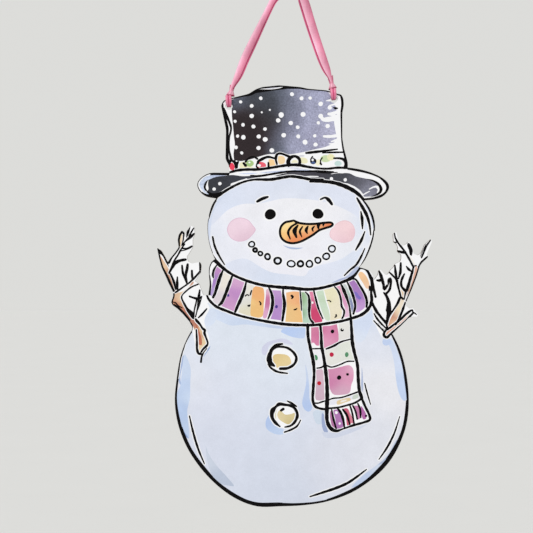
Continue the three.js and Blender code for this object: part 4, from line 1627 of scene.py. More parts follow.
def left_arm():
    arm_ink, arm = "ink_left_arm", "wash_left_arm"
    bare(
        [
            (-92, 155, 0), (-96, 175), (-100, 186), (-112, 197), (-118, 204), (-114, 216), (-124, 232),
            (-129, 245), (-132, 259), (-126, 256), (-118, 248), (-111, 262), (-107, 278), (-98, 283),
            (-92, 272), (-94, 262), (-98, 250), (-88, 247), (-85, 240), (-92, 225), (-88, 215),
            (-86, 208), (-79, 199), (-84, 186), (-79, 165), (-84, 153),
        ],
    )
    wash(
        arm,
        [
            (-89.6, 154.6, 0), (-90.6, 164), (-93.6, 176), (-96.6, 183), (-103, 192), (-110, 198),
            (-116.4, 202.4), (-115, 206), (-113.8, 212), (-114, 216), (-118, 224), (-121, 230),
            (-125.6, 238), (-128.6, 246), (-129, 252, 0), (-125.6, 247), (-121, 240), (-119.4, 237),
            (-116, 244), (-110.4, 252), (-107.8, 258), (-109.4, 264), (-108.6, 270), (-106.4, 272),
            (-105.4, 266), (-105.6, 262), (-100, 267.6, 0), (-106.6, 257), (-110.6, 250), (-115.6, 242),
            (-118, 235), (-116, 230), (-113, 221), (-110.4, 214), (-106, 214.6), (-99, 220),
            (-96, 225, 0), (-94.4, 224), (-100, 217), (-107, 211), (-107, 206), (-103, 198.6),
            (-98.6, 193), (-95, 188.4), (-93.6, 192), (-91, 202, 0), (-90.4, 198), (-92, 188.4),
            (-88.6, 180), (-84, 170), (-82.6, 163), (-84.6, 158), (-86.4, 154.6, 0),
        ],
        pools(
            (-86, 164, 4, (232, 208, 168)), (-89, 156, 4, (236, 214, 178)),
            (-88, 176, 4, (226, 192, 150)), (-92, 170, 4, RUST), (-95, 184, 5, RUST),
            (-101, 192, 5, RUST), (-108, 198, 5, (198, 126, 102)), (-115, 204, 3, (206, 148, 120)),
            (-111, 210, 4, TAN), (-107, 208, 3, BARK_CREAM), (-105, 202, 3, (230, 196, 150)),
            (-115, 220, 5, (198, 150, 126)), (-119, 230, 5, (198, 150, 124)),
            (-124, 242, 5, (234, 200, 166)), (-128, 250, 3, (206, 148, 118)),
            (-114, 245, 4, (214, 178, 144)), (-107.6, 266, 4, (248, 230, 200)),
            (-108, 258, 3, (230, 200, 160)), (-103, 264, 3, (214, 158, 136)),
            (-104, 214, 4, (236, 208, 176)), (-97, 221, 3, (210, 160, 134)),
            (-92.6, 194, 4, (220, 204, 176)),
        ),
    )
    wash(
        arm,
        [
            (-93.4, 184), (-92, 178), (-90.4, 168), (-89.4, 162), (-86.8, 161.4), (-86.4, 165.6),
            (-88, 172), (-90, 178),
        ],
        pools((-90, 170, 6, (186, 106, 82)), (-88, 163, 4, (196, 118, 92))),
    )
    wash(arm, ribbon_of([(-103.6, 232, 1), (-103, 228, 1.8), (-100.6, 222, 1.8)]), (226, 206, 182))
    # the trunk's two sides
    ink(
        arm_ink, (-92, 176.6, 1.2), (-91.4, 166, 1.6), (-91.2, 157, 1.8), (-89.6, 153, 1.9),
        (-86, 152.4, 1.3), halo=0.7,
    )
    ink(
        arm_ink, (-88, 153, 1), (-85.6, 157, 1.6), (-81.6, 161, 1.7), (-80.6, 163, 1.4),
        (-82.4, 169, 1.5), (-84, 173.6, 1.9), (-83.4, 176.2, 2), (-85.6, 177.8, 1.7), (-88.6, 182.4, 1.6),
        (-91.6, 185.6, 2.2), (-92.6, 187.2, 1.4), halo=0.8,
    )
    rim(arm_ink, (-99, 185), (-115.5, 201), 1.5, 1.6, 1.6)
    ink(arm_ink, (-96.4, 176.4, 1.2), (-96.8, 181, 1.8), (-100, 186.4, 1.4), halo=0)
    rim(arm_ink, (-115.5, 201), (-115, 213), 0.8, 1.1, 1)
    ink(arm_ink, (-116, 204.4, 0.8), (-112.6, 203.4, 1), (-110, 200.6, 1), (-106, 198.4, 0.7), halo=0)
    ink(
        arm_ink, (-95, 188.4, 2), (-99, 194, 2.2), (-103.4, 201.4, 1.6), (-106.6, 208.6, 1.2),
        (-106, 211, 1), (-101, 216, 1.2), (-97, 219, 1.2), (-90, 222, 1), halo=0.7,
    )
    blot(arm_ink, [(-94, 189, 0), (-95, 194), (-98, 196.6), (-99.4, 197.6, 0), (-100, 193.6), (-97, 190)])
    rim(arm_ink, (-115, 214), (-131, 258), 1.6, 1.7, 1.5, 1.2, 1.1)
    blot(
        arm_ink,
        [
            (-130.6, 257.6, 0), (-127, 255.2), (-123.4, 250), (-120.6, 244.4, 0), (-119, 238.6, 0),
            (-122, 243), (-125.6, 250), (-129, 252.6, 0),
        ],
    )
    # from the fork up the left branch
    ink(
        arm_ink, (-113, 213.6, 1), (-111.4, 214.6, 1.4), (-106, 218.4, 1.2), (-101.4, 221.6, 1.2),
        halo=0.5,
    )
    ink(arm_ink, (-112.4, 217, 1.4), (-114.6, 225, 1.8), (-117.6, 232, 1.4), halo=0.4)
    ink(arm_ink, (-110.8, 229, 1), (-111, 223, 2), (-110.6, 217, 1.4), halo=0.4)
    ink(
        arm_ink, (-119, 233, 1.4), (-116.6, 237.6, 2), (-113, 243, 2.6), (-108, 245.4, 2.2),
        (-102.6, 246.4, 1.8), halo=0.7,
    )
    ink(
        arm_ink, (-117, 236, 1.2), (-114.6, 244, 1.2), (-110.4, 250.6, 1.3), (-107, 256.8, 1.3),
        (-103.6, 261.8, 1), halo=0.4,
    )
    rim(arm_ink, (-120.5, 243.5), (-110, 262), 1.2, 1, 1, 1)
    ink(arm_ink, (-119.6, 243.6, 2.4), (-116.6, 248, 1.4), halo=0)
    rim(arm_ink, (-110, 262), (-104, 273), 1.2, 1.5, 1.6, 1.4)
    ink(arm_ink, (-104.6, 273, 1.2), (-105, 266, 1), (-106.4, 261, 0.8), halo=0.4)
    ink(arm_ink, (-106.6, 260.4, 0.8), (-102, 265.4, 1.3), (-98, 268.6, 2.2), (-94.4, 272, 1.4), halo=0.5)
    ink(arm_ink, (-101.6, 268.6, 0.8), (-100.2, 274, 2), (-98.4, 279, 0.8), halo=0.6)
    ink(arm_ink, (-99, 269.6, 1.4), (-97, 273.6, 1.3), (-94.6, 277.6, 0.9), halo=0.4)
    ink(arm_ink, (-106.6, 257.6, 1), (-101, 257.4, 1.4), (-96.4, 259.6, 1.4), halo=0.5)
    ink(arm_ink, (-107, 255, 0.8), (-101, 256.6, 0.8), (-97.4, 258.4, 0.9), halo=0)
    # the middle branch
    ink(
        arm_ink, (-100.6, 222, 1), (-97.6, 224.6, 1.4), (-92.6, 229.6, 1.6), (-88.4, 234.4, 1.4),
        halo=0.6,
    )
    ink(arm_ink, (-88.4, 244, 1.2), (-88, 239, 1.8), (-88.4, 235, 1), halo=0.5)
    ink(
        arm_ink, (-101.6, 222.6, 0.8), (-103.6, 227.6, 1), (-105.4, 233.6, 1.8), (-106.2, 240.6, 1.2),
        halo=0.6,
    )
    ink(
        arm_ink, (-101, 223.4, 0.8), (-102.4, 231, 1.8), (-101.2, 237, 2.2), (-100.6, 241.6, 1.6),
        halo=0.6,
    )
    ink(arm_ink, (-95.8, 226, 1), (-96.2, 231, 1.8), (-96.4, 235.4, 1.4), halo=0.6)
    # the Y twig
    ink(
        arm_ink, (-92.8, 189.6, 1), (-91.4, 195, 1), (-90, 203, 1.6), (-89.4, 210, 2), (-88.6, 216, 1.2),
        halo=0.8,
    )
    ink(arm_ink, (-94.6, 190, 1.2), (-94, 196, 1.1), (-92.6, 202, 1.2), (-91.4, 207.6, 1), halo=0.6)
    ink(
        arm_ink, (-98.6, 209.8, 1.4), (-94.6, 208.4, 1.6), (-90, 207.6, 1.8), (-86.8, 209.6, 0.9),
        halo=0.8,
    )
    ink(arm_ink, (-90.4, 197, 0.8), (-88.6, 203, 1.2), (-86.4, 210, 0.7), halo=0.5)


def right_arm():
    arm_ink, arm = "ink_right_arm", "wash_right_arm"
    bare(
        [
            (82, 200, 0), (83, 226), (88, 228), (89, 237), (98, 231), (104, 241), (112, 246), (106, 262),
            (100, 265), (104, 275), (112, 264), (119, 267), (124, 253), (131, 254), (142, 269),
            (140, 250), (130, 240), (118, 205), (116, 199), (124, 199), (129, 190), (114, 182),
            (102, 170), (97, 167), (92, 170), (86, 182), (84, 190),
        ],
    )
    wash(
        arm,
        [
            (95.4, 171, 0), (98, 176), (98.4, 180), (101, 188), (106, 197), (111, 206), (110.4, 213),
            (111, 218.4), (115, 215), (117, 219), (120.6, 229), (123, 238), (121, 244), (119.6, 251, 0),
            (122.6, 246), (126, 240), (128.4, 240, 0), (127.6, 235), (124, 225), (119.6, 215),
            (114.8, 206), (111.6, 196), (107.6, 187), (110, 184), (116, 190), (122.4, 195.4, 0),
            (120.6, 191), (112, 184), (104, 176.6), (99, 171.6), (97, 169.6),
        ],
        pools(
            (97, 172, 4, (224, 170, 146)), (104, 179, 4, (222, 160, 138)), (112, 186, 4, (224, 168, 146)),
            (120, 193, 4, (236, 214, 196)), (101, 186, 5, (208, 156, 130)),
            (104, 183, 3, (244, 224, 184)), (107, 194, 4, (246, 230, 200)),
            (103, 192, 4, (196, 134, 112)), (111, 203, 4, (240, 226, 206)),
            (112, 213, 4, (250, 226, 184)), (116, 212, 4, (200, 168, 150)),
            (119, 219, 4, (204, 160, 142)), (123, 230, 5, (226, 178, 158)),
            (127, 238, 4, (232, 186, 166)), (121, 246, 4, (246, 228, 190)),
        ),
    )
    wash(arm, [(95.8, 219), (99.4, 223.4), (100.4, 221), (98.6, 217), (95.6, 214.4)], (244, 228, 190))
    # the split log across the foot of the arm
    ink(
        arm_ink, (96.6, 176.8, 1.6), (94.2, 172.6, 1.9), (95, 170, 2.2), (97.4, 169.2, 2),
        (101, 172.6, 1.6), (108, 178.6, 1.4), (116, 185.6, 1.2), (122, 192, 1.6), (124, 193.6, 1.2),
        (126.6, 191.8, 0.8), halo=0.8,
    )
    ink(
        arm_ink, (98, 177, 1.6), (104, 181.6, 1.6), (111, 187, 1.6), (116.6, 192.6, 1.8),
        (122.6, 196.2, 1.3), (123, 194, 0.9), halo=0.7,
    )
    ink(arm_ink, (109, 180, 0.6), (114, 184.4, 0.8), (119, 189.6, 0.6), halo=0)
    # the trunk
    blot(
        arm_ink,
        [
            (97, 178.6, 0), (98.6, 184), (100.6, 190), (104.6, 196), (109.6, 203.4), (111.4, 208.4, 0),
            (109.8, 209.6), (106, 202), (101.6, 195.4), (101.4, 199, 0), (98, 195), (96.4, 189),
        ],
    )
    ink(arm_ink, (106, 181.6, 1.2), (109.4, 188, 1.6), (113, 196.6, 1.8), (115.4, 203.6, 1.2), halo=0.6)
    rim(arm_ink, (132, 243), (117, 204), 1, 1, 1.1, 1, 0.9)
    ink(arm_ink, (110, 207.6, 1.2), (111, 209, 1.8), (113.4, 207, 1.2), halo=0)
    ink(arm_ink, (112.4, 208.6, 1), (115, 207, 0.6), halo=0)
    ink(arm_ink, (111.2, 209, 1.4), (108.6, 219, 1.6), (107, 226, 1.8), (106, 229, 1.2), halo=0.8)
    ink(
        arm_ink, (114.6, 207, 0.8), (115.6, 213, 1.4), (118.6, 221, 2.2), (121, 229, 2), (123, 236, 1.6),
        (123.6, 240, 1.2), halo=0.7,
    )
    ink(
        arm_ink, (115, 216, 2.2), (112, 219.4, 1.8), (111.4, 224, 1.8), (113, 229, 1.7),
        (114.6, 232, 1.2), halo=0.8,
    )
    ink(arm_ink, (117, 216, 2.4), (119.4, 222.6, 2), halo=0)
    # top left of the trunk
    ink(
        arm_ink, (123.8, 238.4, 1.4), (119.4, 247, 1.6), (113.8, 256, 1.6), (108.4, 263, 1.4),
        (105.6, 268, 1.3), (104.8, 272.4, 0.9), halo=0.8,
    )
    ink(arm_ink, (107, 263.4, 1), (103.4, 263.8, 0.8), halo=0)
    ink(arm_ink, (115.4, 253.4, 2), (111.6, 253.8, 2), (107.8, 255, 1.2), halo=0.6)
    ink(arm_ink, (116.6, 239.6, 1), (118.6, 237, 1.8), (121.6, 234.6, 1.2), halo=0.6)
    blot(
        arm_ink,
        [
            (117.6, 262.6, 0), (119, 263), (121.4, 260), (123, 255.6), (122, 250, 0), (120.2, 251),
            (119, 256), (117.4, 260),
        ],
        halo=0.8,
    )
    ink(arm_ink, (124.6, 240, 1), (126.4, 240.4, 0.9), halo=0)
    # top right of the trunk
    ink(
        arm_ink, (128.6, 239, 1.2), (131.6, 243.4, 1.8), (134.6, 246.6, 1.6), (137.6, 249.4, 0.9),
        halo=0.8,
    )
    ink(arm_ink, (131.6, 248.4, 1.2), (134, 254, 1.4), (136.6, 260, 1.4), (140.6, 265.6, 0.9), halo=0.8)
    ink(arm_ink, (130.4, 249.6, 0.4), (133.4, 256.4, 0.5), (136, 261.6, 0.4), halo=0)
    # the twigs between
    ink(arm_ink, (107.6, 225.6, 1.6), (104, 229.6, 1.4), (99.4, 234, 1.2), halo=0.7)
    ink(arm_ink, (107, 226.6, 1.6), (106, 233, 2), (105.2, 240.4, 1.2), halo=0.7)
    ink(arm_ink, (108.8, 227.6, 1.1), (110.6, 234, 2), (111, 243, 1.4), halo=0.8)
    ink(
        arm_ink, (98, 196, 3), (99, 202, 2.6), (98.2, 207, 2.2), (96, 211.6, 2), (94.2, 213.4, 1.2),
        halo=0.8,
    )
    ink(arm_ink, (100.6, 196, 1.6), (99.8, 203, 2), (97.4, 209.6, 1.8), halo=0)
    ink(
        arm_ink, (96, 212, 1.8), (99.6, 216, 1.8), (101, 221.4, 1.8), (100.6, 227.6, 2), (99, 226, 1.8),
        (98.6, 221.6, 1), halo=0.8,
    )
    ink(
        arm_ink, (97.6, 220.6, 1.8), (94.8, 217, 2.2), (93.8, 222, 2), (91.6, 229.6, 2.4),
        (89.6, 234.8, 1.3), halo=0.8,
    )
    ink(arm_ink, (92.6, 226.8, 2.4), (90, 225.6, 2), (87.4, 225.8, 1.4), halo=0.6)
    ink(arm_ink, (98, 190, 1.6), (98.6, 196, 2.6), halo=0)
    # long strokes at the shoulder
    ink(arm_ink, (82.4, 228, 1.8), (83.4, 220, 2.2), (85, 213.6, 1.8), (86, 209.4, 1.7), halo=0.8)
    ink(
        arm_ink, (82.4, 203.6, 1.9), (85.6, 197.4, 2.1), (90, 191, 1.8), (94, 186.6, 1.6),
        (97.4, 183.4, 1.4), halo=0.8,
    )
    ink(arm_ink, (84.6, 197, 0.7), (87, 193, 1), (92.4, 186.4, 1), (97, 181.6, 1.2), halo=0)
    ink(arm_ink, (84.6, 192.6, 1), (87.6, 187.6, 1.5), (92, 182.4, 1.4), (96.6, 178, 1.1), halo=0.8)
    ink(arm_ink, (84.4, 185.6, 1), (88.6, 181, 1.1), (94.4, 175, 1.1), halo=0.8)
    ink(arm_ink, (88.6, 183, 0.5), (94.6, 177, 0.6), halo=0)
    ink(arm_ink, (96, 185.4, 1.4), (97, 181, 1.4), (98, 178, 1.4), halo=0)
    bare(ribbon_of([(86.6, 192.6, 0.5), (91, 187, 0.9), (96, 181.4, 0.5)]), LIGHT)
    bare(ribbon_of([(86.4, 186.4, 0.5), (91, 180.8, 0.8), (95.4, 176.8, 0.5)]), LIGHT)


# ---- ribbon ------------------------------------------------------------------------

PINK = (236, 140, 170)
PALE_PINK = (250, 176, 200)
DEEP_PINK = (206, 92, 134)
ROSE = (222, 118, 152)
# painted shade: this crimson stands for the shadow inside the fold, under the knot and between the
# strands
SHADE_CRIMSON = (196, 22, 92)
# painted highlight and painted shade for the ribbon's lit and shaded sides
LIT_PINK = (255, 196, 218)
SHADED_PINK = (214, 112, 144)
# painted shade: dark red for the shadow line under the knot
SHADE_RED = (150, 14, 66)

# The centre line up the left leg, over the hook and down: x, h and the ribbon's width, mm
ROUTE = [
    (-57.6, 412.6, 3.6), (-56.9, 416, 3.4), (-55, 420.4, 5), (-50.2, 429.8, 7.8),
    (-44.2, 444.7, 9), (-34.9, 464.5, 8.8), (-25.3, 484.4, 7.4), (-15.8, 503.4, 7.2),
    (-12.4, 508, 8), (-6.8, 512.2, 8.4), (0, 513.7, 8.4), (7.2, 512, 8.6), (12.6, 507.8, 9.4),
    (15, 502, 10.4), (20.4, 484.4, 10.4), (26.8, 464.5, 10), (33.7, 444.7, 9.4),
    (37.6, 434.9, 7.8), (40.8, 427.4, 4.2), (42.1, 423, 3.4), (42.6, 419.6, 3.6),
]
ROUTE_STEP = 1.5  # mm
HOOK_FLAT = 3.0  # the ribbon lies flat on the hook this far each way, mm,
TWIST_END = 17.0  # and has turned to face the front by here

# The folded ribbon's section: across in half widths, through in mm, and its colour.
# The front layer stops short, so that the inside of the back layer shows beside it.
# The colours paint light and shade: crimson is painted shade inside the fold, deep pink painted shade
# beside the fold edge, and pale pink a painted highlight.
SECTION = [
    (-1.0, 0.0, PINK), (-0.93, 0.75, PINK), (-0.7, 1.1, PALE_PINK), (-0.35, 1.3, PALE_PINK),
    (0.0, 1.25, PINK), (0.35, 1.05, PINK), (0.56, 0.85, DEEP_PINK), (0.62, 0.55, DEEP_PINK),
    (0.4, 0.4, SHADE_CRIMSON), (-0.2, 0.55, SHADE_CRIMSON), (-0.74, 0.3, SHADE_CRIMSON), (-0.8, -0.05, SHADE_CRIMSON),
    (-0.6, -0.4, SHADE_CRIMSON), (0.1, -0.4, SHADE_CRIMSON), (0.6, -0.15, SHADE_CRIMSON), (0.9, 0.12, DEEP_PINK),
    (1.0, 0.05, PINK), (0.98, -0.25, PINK), (0.6, -0.75, PINK), (0.1, -1.05, PALE_PINK),
    (-0.5, -1.05, PINK), (-0.9, -0.6, PINK),
]
FOLD_EDGE = 0.9  # past this half width the section is its plain edge
# Waves along the ribbon: how strong, their length and where they start, mm
CREASES = ((0.14, 9.0, 1.0), (0.07, 3.7, 0.0))
# painted sheen: the ribbon's colour is brightened and darkened in these waves
SHEEN_BANDS = ((0.05, 13.0, 0.0), (0.03, 5.0, 2.0))

BACK = np.array([0.0, 1.0, 0.0])


def row_point(x, h):
    """A point of the drawing in the row frame, at the hook's depth."""
    return np.array([x * MM, 0, h * MM + BASE_LINE])


def ripple(waves, run):
    return 1 + sum(size * math.sin(run / length + start) for size, length, start in waves)


def signed_volume(mesh):
    """Six times the mesh's volume, below zero when its faces look inwards."""
    total = 0.0
    for face in mesh.polygons:
        corners = [mesh.vertices[i].co for i in face.vertices]
        for b, c in zip(corners[1:], corners[2:]):
            total += corners[0].dot(b.cross(c))
    return total


def skin(name, rings, tints):
    """A closed tube through rings of points (metres), coloured point by point."""
    rings = np.asarray(rings, float)
    tints = np.broadcast_to(np.asarray(tints, float), rings.shape)
    count, around = rings.shape[:2]
    faces = []
    for i in range(count - 1):
        for j in range(around):
            k = (j + 1) % around
            near, far = i * around, (i + 1) * around
            faces.append((near + j, near + k, far + k, far + j))
    faces.append(tuple(range(around))[::-1])
    faces.append(tuple((count - 1) * around + j for j in range(around)))
    mesh = bpy.data.meshes.new(name)
    mesh.from_pydata([tuple(p) for p in rings.reshape(-1, 3)], [], faces)
    mesh.update()
    mesh.shade_smooth()
    if signed_volume(mesh) < 0:
        mesh.flip_normals()
    pigment = mesh.color_attributes.new("pigment", "FLOAT_COLOR", "POINT")
    colour = to_linear(tints.reshape(-1, 3))
    full = np.column_stack([colour, np.ones(len(colour))]).astype(np.float32)
    pigment.data.foreach_set("color", full.ravel())
    piece = bpy.data.objects.new(name, mesh)
    bpy.context.scene.collection.objects.link(piece)
    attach(piece, "ribbon")
    return piece


def leg_tint(across, through, tint, lit_outside):
    """Painted light and shade: the front layer is painted paler on the side that faces the light and
    deeper on the other.
    """
    if tint == SHADE_CRIMSON or through < 0.3:
        return np.array(tint, float)
    away = (across + 1) / 1.6 if lit_outside else (0.6 - across) / 1.6
    away = min(1.0, max(0.0, away))
    return np.array(LIT_PINK) * (1 - away) + np.array(SHADED_PINK) * away


def twist(run, top):
    """How far the ribbon is turned at each point: a right angle on the hook, none on the legs."""
    part = np.clip((np.abs(run - top) - HOOK_FLAT) / (TWIST_END - HOOK_FLAT), 0, 1)
    return math.pi / 2 * (1 - part * part * (3 - 2 * part))


def ribbon_span():
    """The folded ribbon from the left knot over the hook to the right knot."""
    line = smooth(ROUTE, step=ROUTE_STEP)
    run = np.concatenate([[0], np.cumsum(np.linalg.norm(np.diff(line[:, :2], axis=0), axis=1))])
    turn = twist(run, run[np.argmax(line[:, 1])])
    inward = -normals(line)  # towards the inside of the bend
    rings, tints, centre = [], [], []
    for i, (x, h, width) in enumerate(line):
        flat = np.array([inward[i, 0], 0, inward[i, 1]])
        across = flat * math.cos(turn[i]) + BACK * math.sin(turn[i])
        through = flat * math.sin(turn[i]) - BACK * math.cos(turn[i])
        middle = row_point(x, h)
        crease = ripple(CREASES, run[i])
        ring = []
        for a, t, _ in SECTION:
            thick = t * (crease if a < FOLD_EDGE else 1)
            ring.append(middle + (across * a * width / 2 + through * thick) * MM)
        left_leg = run[i] < run[-1] / 2
        sheen_band = ripple(SHEEN_BANDS, run[i])
        rings.append(ring)
        tints.append([leg_tint(a, t, tint, left_leg) * sheen_band for a, t, tint in SECTION])
        centre.append(middle)
    span = skin("satin_span", rings, tints)
    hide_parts("ribbon_span")
    return span, centre, run[-1] * MM


# ---- the ribbon's knots --------------------------------------------------------------

# The middle of the strip above each hole, x and h in mm, and the knot's lean in degrees
EYES = {"left": (-59.5, 404.0, 12.0), "right": (44.5, 411.0, -10.0)}
HINGE_TILT = math.atan2(411.0 - 404.0, 44.5 + 59.5)
HOLE_SHIFT = -5.5 * math.sin(HINGE_TILT)  # a hole's centre, measured along the hinge, mm

STRAND_STEPS, STRAND_SIDES = 44, 14
STRAND_REACH = 5.5  # from the hinge line to a strand's middle, mm
STRAND_GAP = 14  # degrees at the top, hidden in the knot

# A knot from its neck down: distance from the eye, half width, half depth (mm), colour. The colour
# # paints light and shade: pale pink as a painted highlight on the flare, deep pink and crimson as
# painted
# # shadow at its foot
COLLAR = [
    (13.2, 1.2, 0.9, PINK), (12.6, 1.75, 1.35, PINK), (11.2, 1.8, 1.5, PINK),
    (10, 2.3, 1.9, PALE_PINK), (8.8, 2.9, 2.4, PALE_PINK), (7.6, 3.4, 2.8, PALE_PINK),
    (6.6, 3.7, 3.05, PINK), (5.9, 3.75, 3.1, PINK), (5.5, 3.6, 2.95, DEEP_PINK),
    (5.5, 3.0, 2.4, SHADE_CRIMSON), (6.0, 1.6, 1.2, SHADE_CRIMSON),
]
COLLAR_SIDES = 28
PLEATS = 7
HEM_STEPS, HEM_SIDES = 40, 8

TAIL_STEPS = 16
# The trimmed end's section: across in half widths, through in mm
TAIL_SECTION = [
    (-1, 0), (-0.8, 0.22), (-0.3, 0.3), (0.3, 0.3), (0.8, 0.22), (1, 0),
    (0.8, -0.22), (0.3, -0.3), (-0.3, -0.3), (-0.8, -0.22),
]


def circle(count):
    return [2 * math.pi * j / count for j in range(count)]


def knot_axes(side):
    """A knot's across and up directions, and its eye."""
    x, h, lean = EYES[side]
    s, c = math.sin(math.radians(lean)), math.cos(math.radians(lean))
    return np.array([c, 0, -s]), np.array([s, 0, c]), row_point(x, h)


def ribbon_strand(side, index, offset):
    """One of the two strands that go through a hole and round the strip above it."""
    along = np.array([math.cos(HINGE_TILT), 0, math.sin(HINGE_TILT)])
    up = np.array([-math.sin(HINGE_TILT), 0, math.cos(HINGE_TILT)])
    eye = knot_axes(side)[2]
    rings, tints = [], []
    for i in range(STRAND_STEPS + 1):
        # from the top, down the front
        angle = math.radians(STRAND_GAP + (360 - 2 * STRAND_GAP) * i / STRAND_STEPS)
        front = max(0.0, math.sin(angle)) ** 0.7
        low = max(0.0, -math.cos(angle)) ** 1.5
        radius = STRAND_REACH + 0.45 * front
        half_width = 1.55 - 0.4 * low
        half_depth = 0.72 + 0.22 * front
        middle = offset * (1.45 - 0.5 * low) + HOLE_SHIFT
        out = math.cos(angle) * up - math.sin(angle) * BACK
        shade = 0.5 + 0.5 * math.cos(angle)  # painted light and shade: pale at the top, deep in painted shadow where it enters the hole
        light = np.array(PINK) * shade + np.array(ROSE) * (1 - shade)
        ring, ring_tints = [], []
        for a in circle(STRAND_SIDES):
            pleat = 1 + 0.06 * math.sin(3 * a + 1.3 * i / 4 + index)
            u, v = half_width * math.cos(a) * pleat, half_depth * math.sin(a)
            # painted shade: crimson along the edge that faces the other strand
            inner = 0.8 * max(0.0, -offset * math.cos(a)) ** 2
            ring.append(eye + (along * (middle + u) + out * (radius + v)) * MM)
            ring_tints.append(light * (1 - inner) + np.array(SHADE_CRIMSON) * inner)
        rings.append(ring)
        tints.append(ring_tints)
    return skin(f"{side}_strand_{index}", rings, tints)


def ribbon_collar(side):
    """The knot: the ribbon gathers to a neck, then flares over the two strands."""
    across, up, eye = knot_axes(side)
    rings, tints = [], []
    for i, (reach, half_width, half_depth, tint) in enumerate(COLLAR):
        ring, ring_tints = [], []
        for t in circle(COLLAR_SIDES):
            fold = math.sin(PLEATS * t + 0.4 * i)
            pleat = 1 + 0.05 * fold + 0.03 * math.sin(4 * t + 1.1)
            side_way = across * half_width * math.cos(t) + BACK * half_depth * math.sin(t)
            ring.append(eye + (side_way * pleat + up * reach) * MM)
            # painted shade: darker in the pleats' hollows, lighter on their ridges
            ring_tints.append(np.array(tint) * (0.93 + 0.07 * fold))
        rings.append(ring)
        tints.append(ring_tints)
    return skin(f"{side}_collar", rings, tints)


def ribbon_hem(side):
    """The thin rolled edge round the knot's foot, coloured dark red as a painted shadow line under the
    knot.
    """
    across, up, eye = knot_axes(side)
    rings = []
    for i in range(HEM_STEPS + 1):
        t = 0.98 * 2 * math.pi * i / HEM_STEPS
        ring = []
        for q in circle(HEM_SIDES):
            roll = 0.6 * math.cos(q)
            x, y = (3.75 + roll) * math.cos(t), (3.15 + roll) * math.sin(t)
            z = 5.75 + 0.35 * math.cos(t) + 0.62 * math.sin(q)
            ring.append(eye + (across * x + up * z + BACK * y) * MM)
        rings.append(ring)
    return skin(f"{side}_hem", rings, SHADE_RED)


def ribbon_tail(side):
    """The trimmed end, which stands up behind the leg with a slanting cut."""
    across, up, eye = knot_axes(side)
    rings = []
    for i in range(TAIL_STEPS + 1):
        t = i / TAIL_STEPS
        half_width = 1.7 + 1.2 * t
        ring = []
        for a, v in TAIL_SECTION:
            reach = 7.6 + 10.4 * t + 1.6 * a * t**4
            curl = 2.1 + 2.4 * t**1.3 + 0.5 * math.cos(2.2 * a) * t
            ring.append(eye + (across * a * half_width + up * reach + BACK * (curl + v)) * MM)
        rings.append(ring)
    tints = [[PINK if a > -0.5 else DEEP_PINK for a, _ in TAIL_SECTION]] * len(rings)
    return skin(f"{side}_tail", rings, tints)


def satin():
    nodes = Nodes("satin")
    thread = nodes.noise(0.35 * MM, detail=1, stretch=(0.12, 0.12, 1))
    nodes.bump(thread, 0.05 * MM, 0.6)
    streak = nodes.spread(nodes.noise(2.5 * MM, stretch=(1, 1, 0.15)), 0.9, 1.08)
    fine = nodes.spread(thread, 0.95, 1.05)
    colour = nodes.times(nodes.times(nodes.corner_colour("pigment"), streak), fine)
    shine = nodes.spread(thread, 0.3, 0.46)
    return nodes.finish(colour, shine, Sheen_Weight=0.25, Sheen_Roughness=0.4, Specular_IOR_Level=0.55)


def make_ribbon():
    span, centre, length = ribbon_span()
    ends = []
    for side in EYES:
        strands = [ribbon_strand(side, i, offset) for i, offset in enumerate((-1, 1))]
        collar = ribbon_collar(side)
        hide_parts(f"{side}_loop")
        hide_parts(f"{side}_knot")
        ends += [*strands, collar, ribbon_hem(side), ribbon_tail(side)]
    material = satin()
    for piece in [span, *ends]:
        piece.data.materials.append(material)


make_ribbon()

# ---- the board under the print ----------------------------------------------------

BOARD_TAN = (0.50, 0.345, 0.215)
BOARD_BROWN = (0.36, 0.235, 0.14)
EDGE_BROWN = (0.115, 0.062, 0.034)
PRIMER = (0.78, 0.78, 0.76)  # the coat of white under the print


def fibreboard():
    """Pressed wood fibre: fine flecks on the back, browned by the cutter at the edge."""
    nodes = Nodes("fibreboard")
    fibre = nodes.noise(1.1 * MM, detail=6, stretch=(0.35, 1, 1), roughness=0.7)
    cloud = nodes.spread(nodes.noise(30 * MM), 0, 1)
    flecks = nodes.spread(fibre, 0, 1, 0.36, 0.64)
    raw = nodes.blend(flecks, BOARD_BROWN, BOARD_TAN)
    raw = nodes.times(raw, nodes.spread(cloud, 0.92, 1.06, 0, 1))
    normal = nodes.add("ShaderNodeTexCoord").outputs["Normal"]
    parts = nodes.add("ShaderNodeSeparateXYZ")
    nodes.link(normal, parts.inputs[0])
    size = nodes.add("ShaderNodeMath", operation="ABSOLUTE")
    nodes.link(parts.outputs["Y"], size.inputs[0])
    is_edge = nodes.spread(size.outputs[0], 1, 0, 0.3, 0.9)
    streaks = nodes.noise(2.5 * MM, detail=4, stretch=(1, 0.2, 1))
    burn = nodes.spread(streaks, 0.75, 1)
    amount = nodes.add("ShaderNodeMath", operation="MULTIPLY")
    nodes.link(is_edge, amount.inputs[0])
    nodes.link(burn, amount.inputs[1])
    colour = nodes.blend(amount.outputs[0], raw, EDGE_BROWN)
    is_front = nodes.spread(parts.outputs["Y"], 1, 0, -0.9, -0.5)
    colour = nodes.blend(is_front, colour, PRIMER)
    nodes.bump(fibre, 0.12 * MM, 0.7)
    shine = nodes.spread(fibre, 0.72, 0.88)
    return nodes.finish(colour, shine, Specular_IOR_Level=0.3)


def dress(piece, material):
    piece.data.materials.clear()
    piece.data.materials.append(material)


dress(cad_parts["board"], fibreboard())

# ---- the printed face -------------------------------------------------------------

# How strongly each wash is grained and clouded, and the size of its grains
FINE_GRAIN = (0.035, 0.03, TOOTH)
GRAIN = {"wash_crown": (0.3, 0.12, 1.7 * MM), "wash_brim": (0.22, 0.1, 1.7 * MM)}


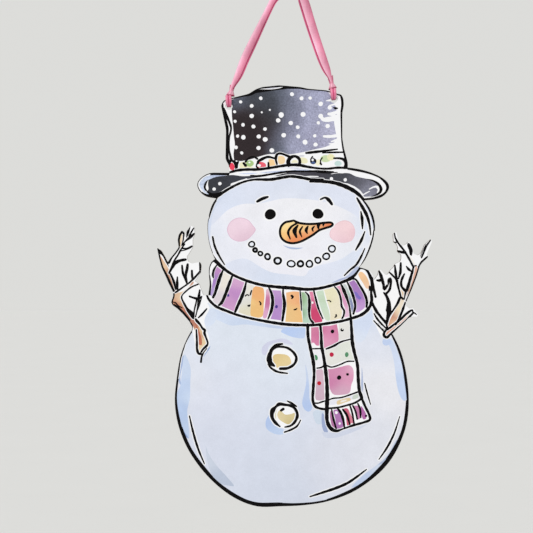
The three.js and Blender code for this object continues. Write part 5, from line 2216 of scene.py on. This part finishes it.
def print_the_face():
    paper = plain_print("print_white", tuple(to_linear(WHITE)), 0.015)
    black = plain_print("print_black", tuple(to_linear((8, 6, 8))), 0.35, gloss=0.08)
    for name, piece in print_pieces().items():
        if name == BARE:
            dress(piece, paper)
        elif name.startswith("ink"):
            dress(piece, black)
        else:
            dress(piece, watercolour(name, *GRAIN.get(name, FINE_GRAIN)))


for draw in (
    body, buttons, scarf_tail, scarf, left_arm, right_arm, head, face, carrot, hat_band, crown, brim
):
    draw()
print_the_face()

# ---- stage and light --------------------------------------------------------------

AROUND = (0.72, 0.72, 0.70)  # the room's even light
KEY_SHARE = 0.25  # what the sun adds on the board's front
KEY_WAY = Vector((0.45, 0.65, -0.62)).normalized()  # from the upper left in front
KEY_SPREAD = 14.0  # how wide the sun looks, degrees
FLOOR_SIDE = 30.0
FLOOR_HEIGHT = -0.75  # well below the snowman's foot


def make_stage():
    bpy.ops.mesh.primitive_plane_add(size=FLOOR_SIDE, location=(0, 0, FLOOR_HEIGHT))
    floor = bpy.context.object
    floor.name = "floor"
    nodes = Nodes("floor")
    lit = KEY_SHARE * -KEY_WAY.z / KEY_WAY.y
    pale = tuple(c / (c + lit) for c in AROUND)
    soft = nodes.spread(nodes.noise(0.2), 0, 1)
    colour = nodes.blend(soft, pale, tuple(c * 1.01 for c in pale))
    floor.data.materials.append(nodes.finish(colour, Roughness=0.9, Specular_IOR_Level=0.1))


def make_light():
    world = bpy.data.worlds.new("room")
    world.use_nodes = True
    background = world.node_tree.nodes["Background"]
    background.inputs["Color"].default_value = (*AROUND, 1)
    bpy.context.scene.world = world
    sun = bpy.data.objects.new("key", bpy.data.lights.new("key", "SUN"))
    sun.rotation_euler = KEY_WAY.to_track_quat("-Z", "Y").to_euler()
    sun.data.energy = KEY_SHARE * math.pi / KEY_WAY.y
    sun.data.angle = math.radians(KEY_SPREAD)
    bpy.context.scene.collection.objects.link(sun)
    bpy.context.scene.view_settings.view_transform = "Standard"


make_stage()
make_light()
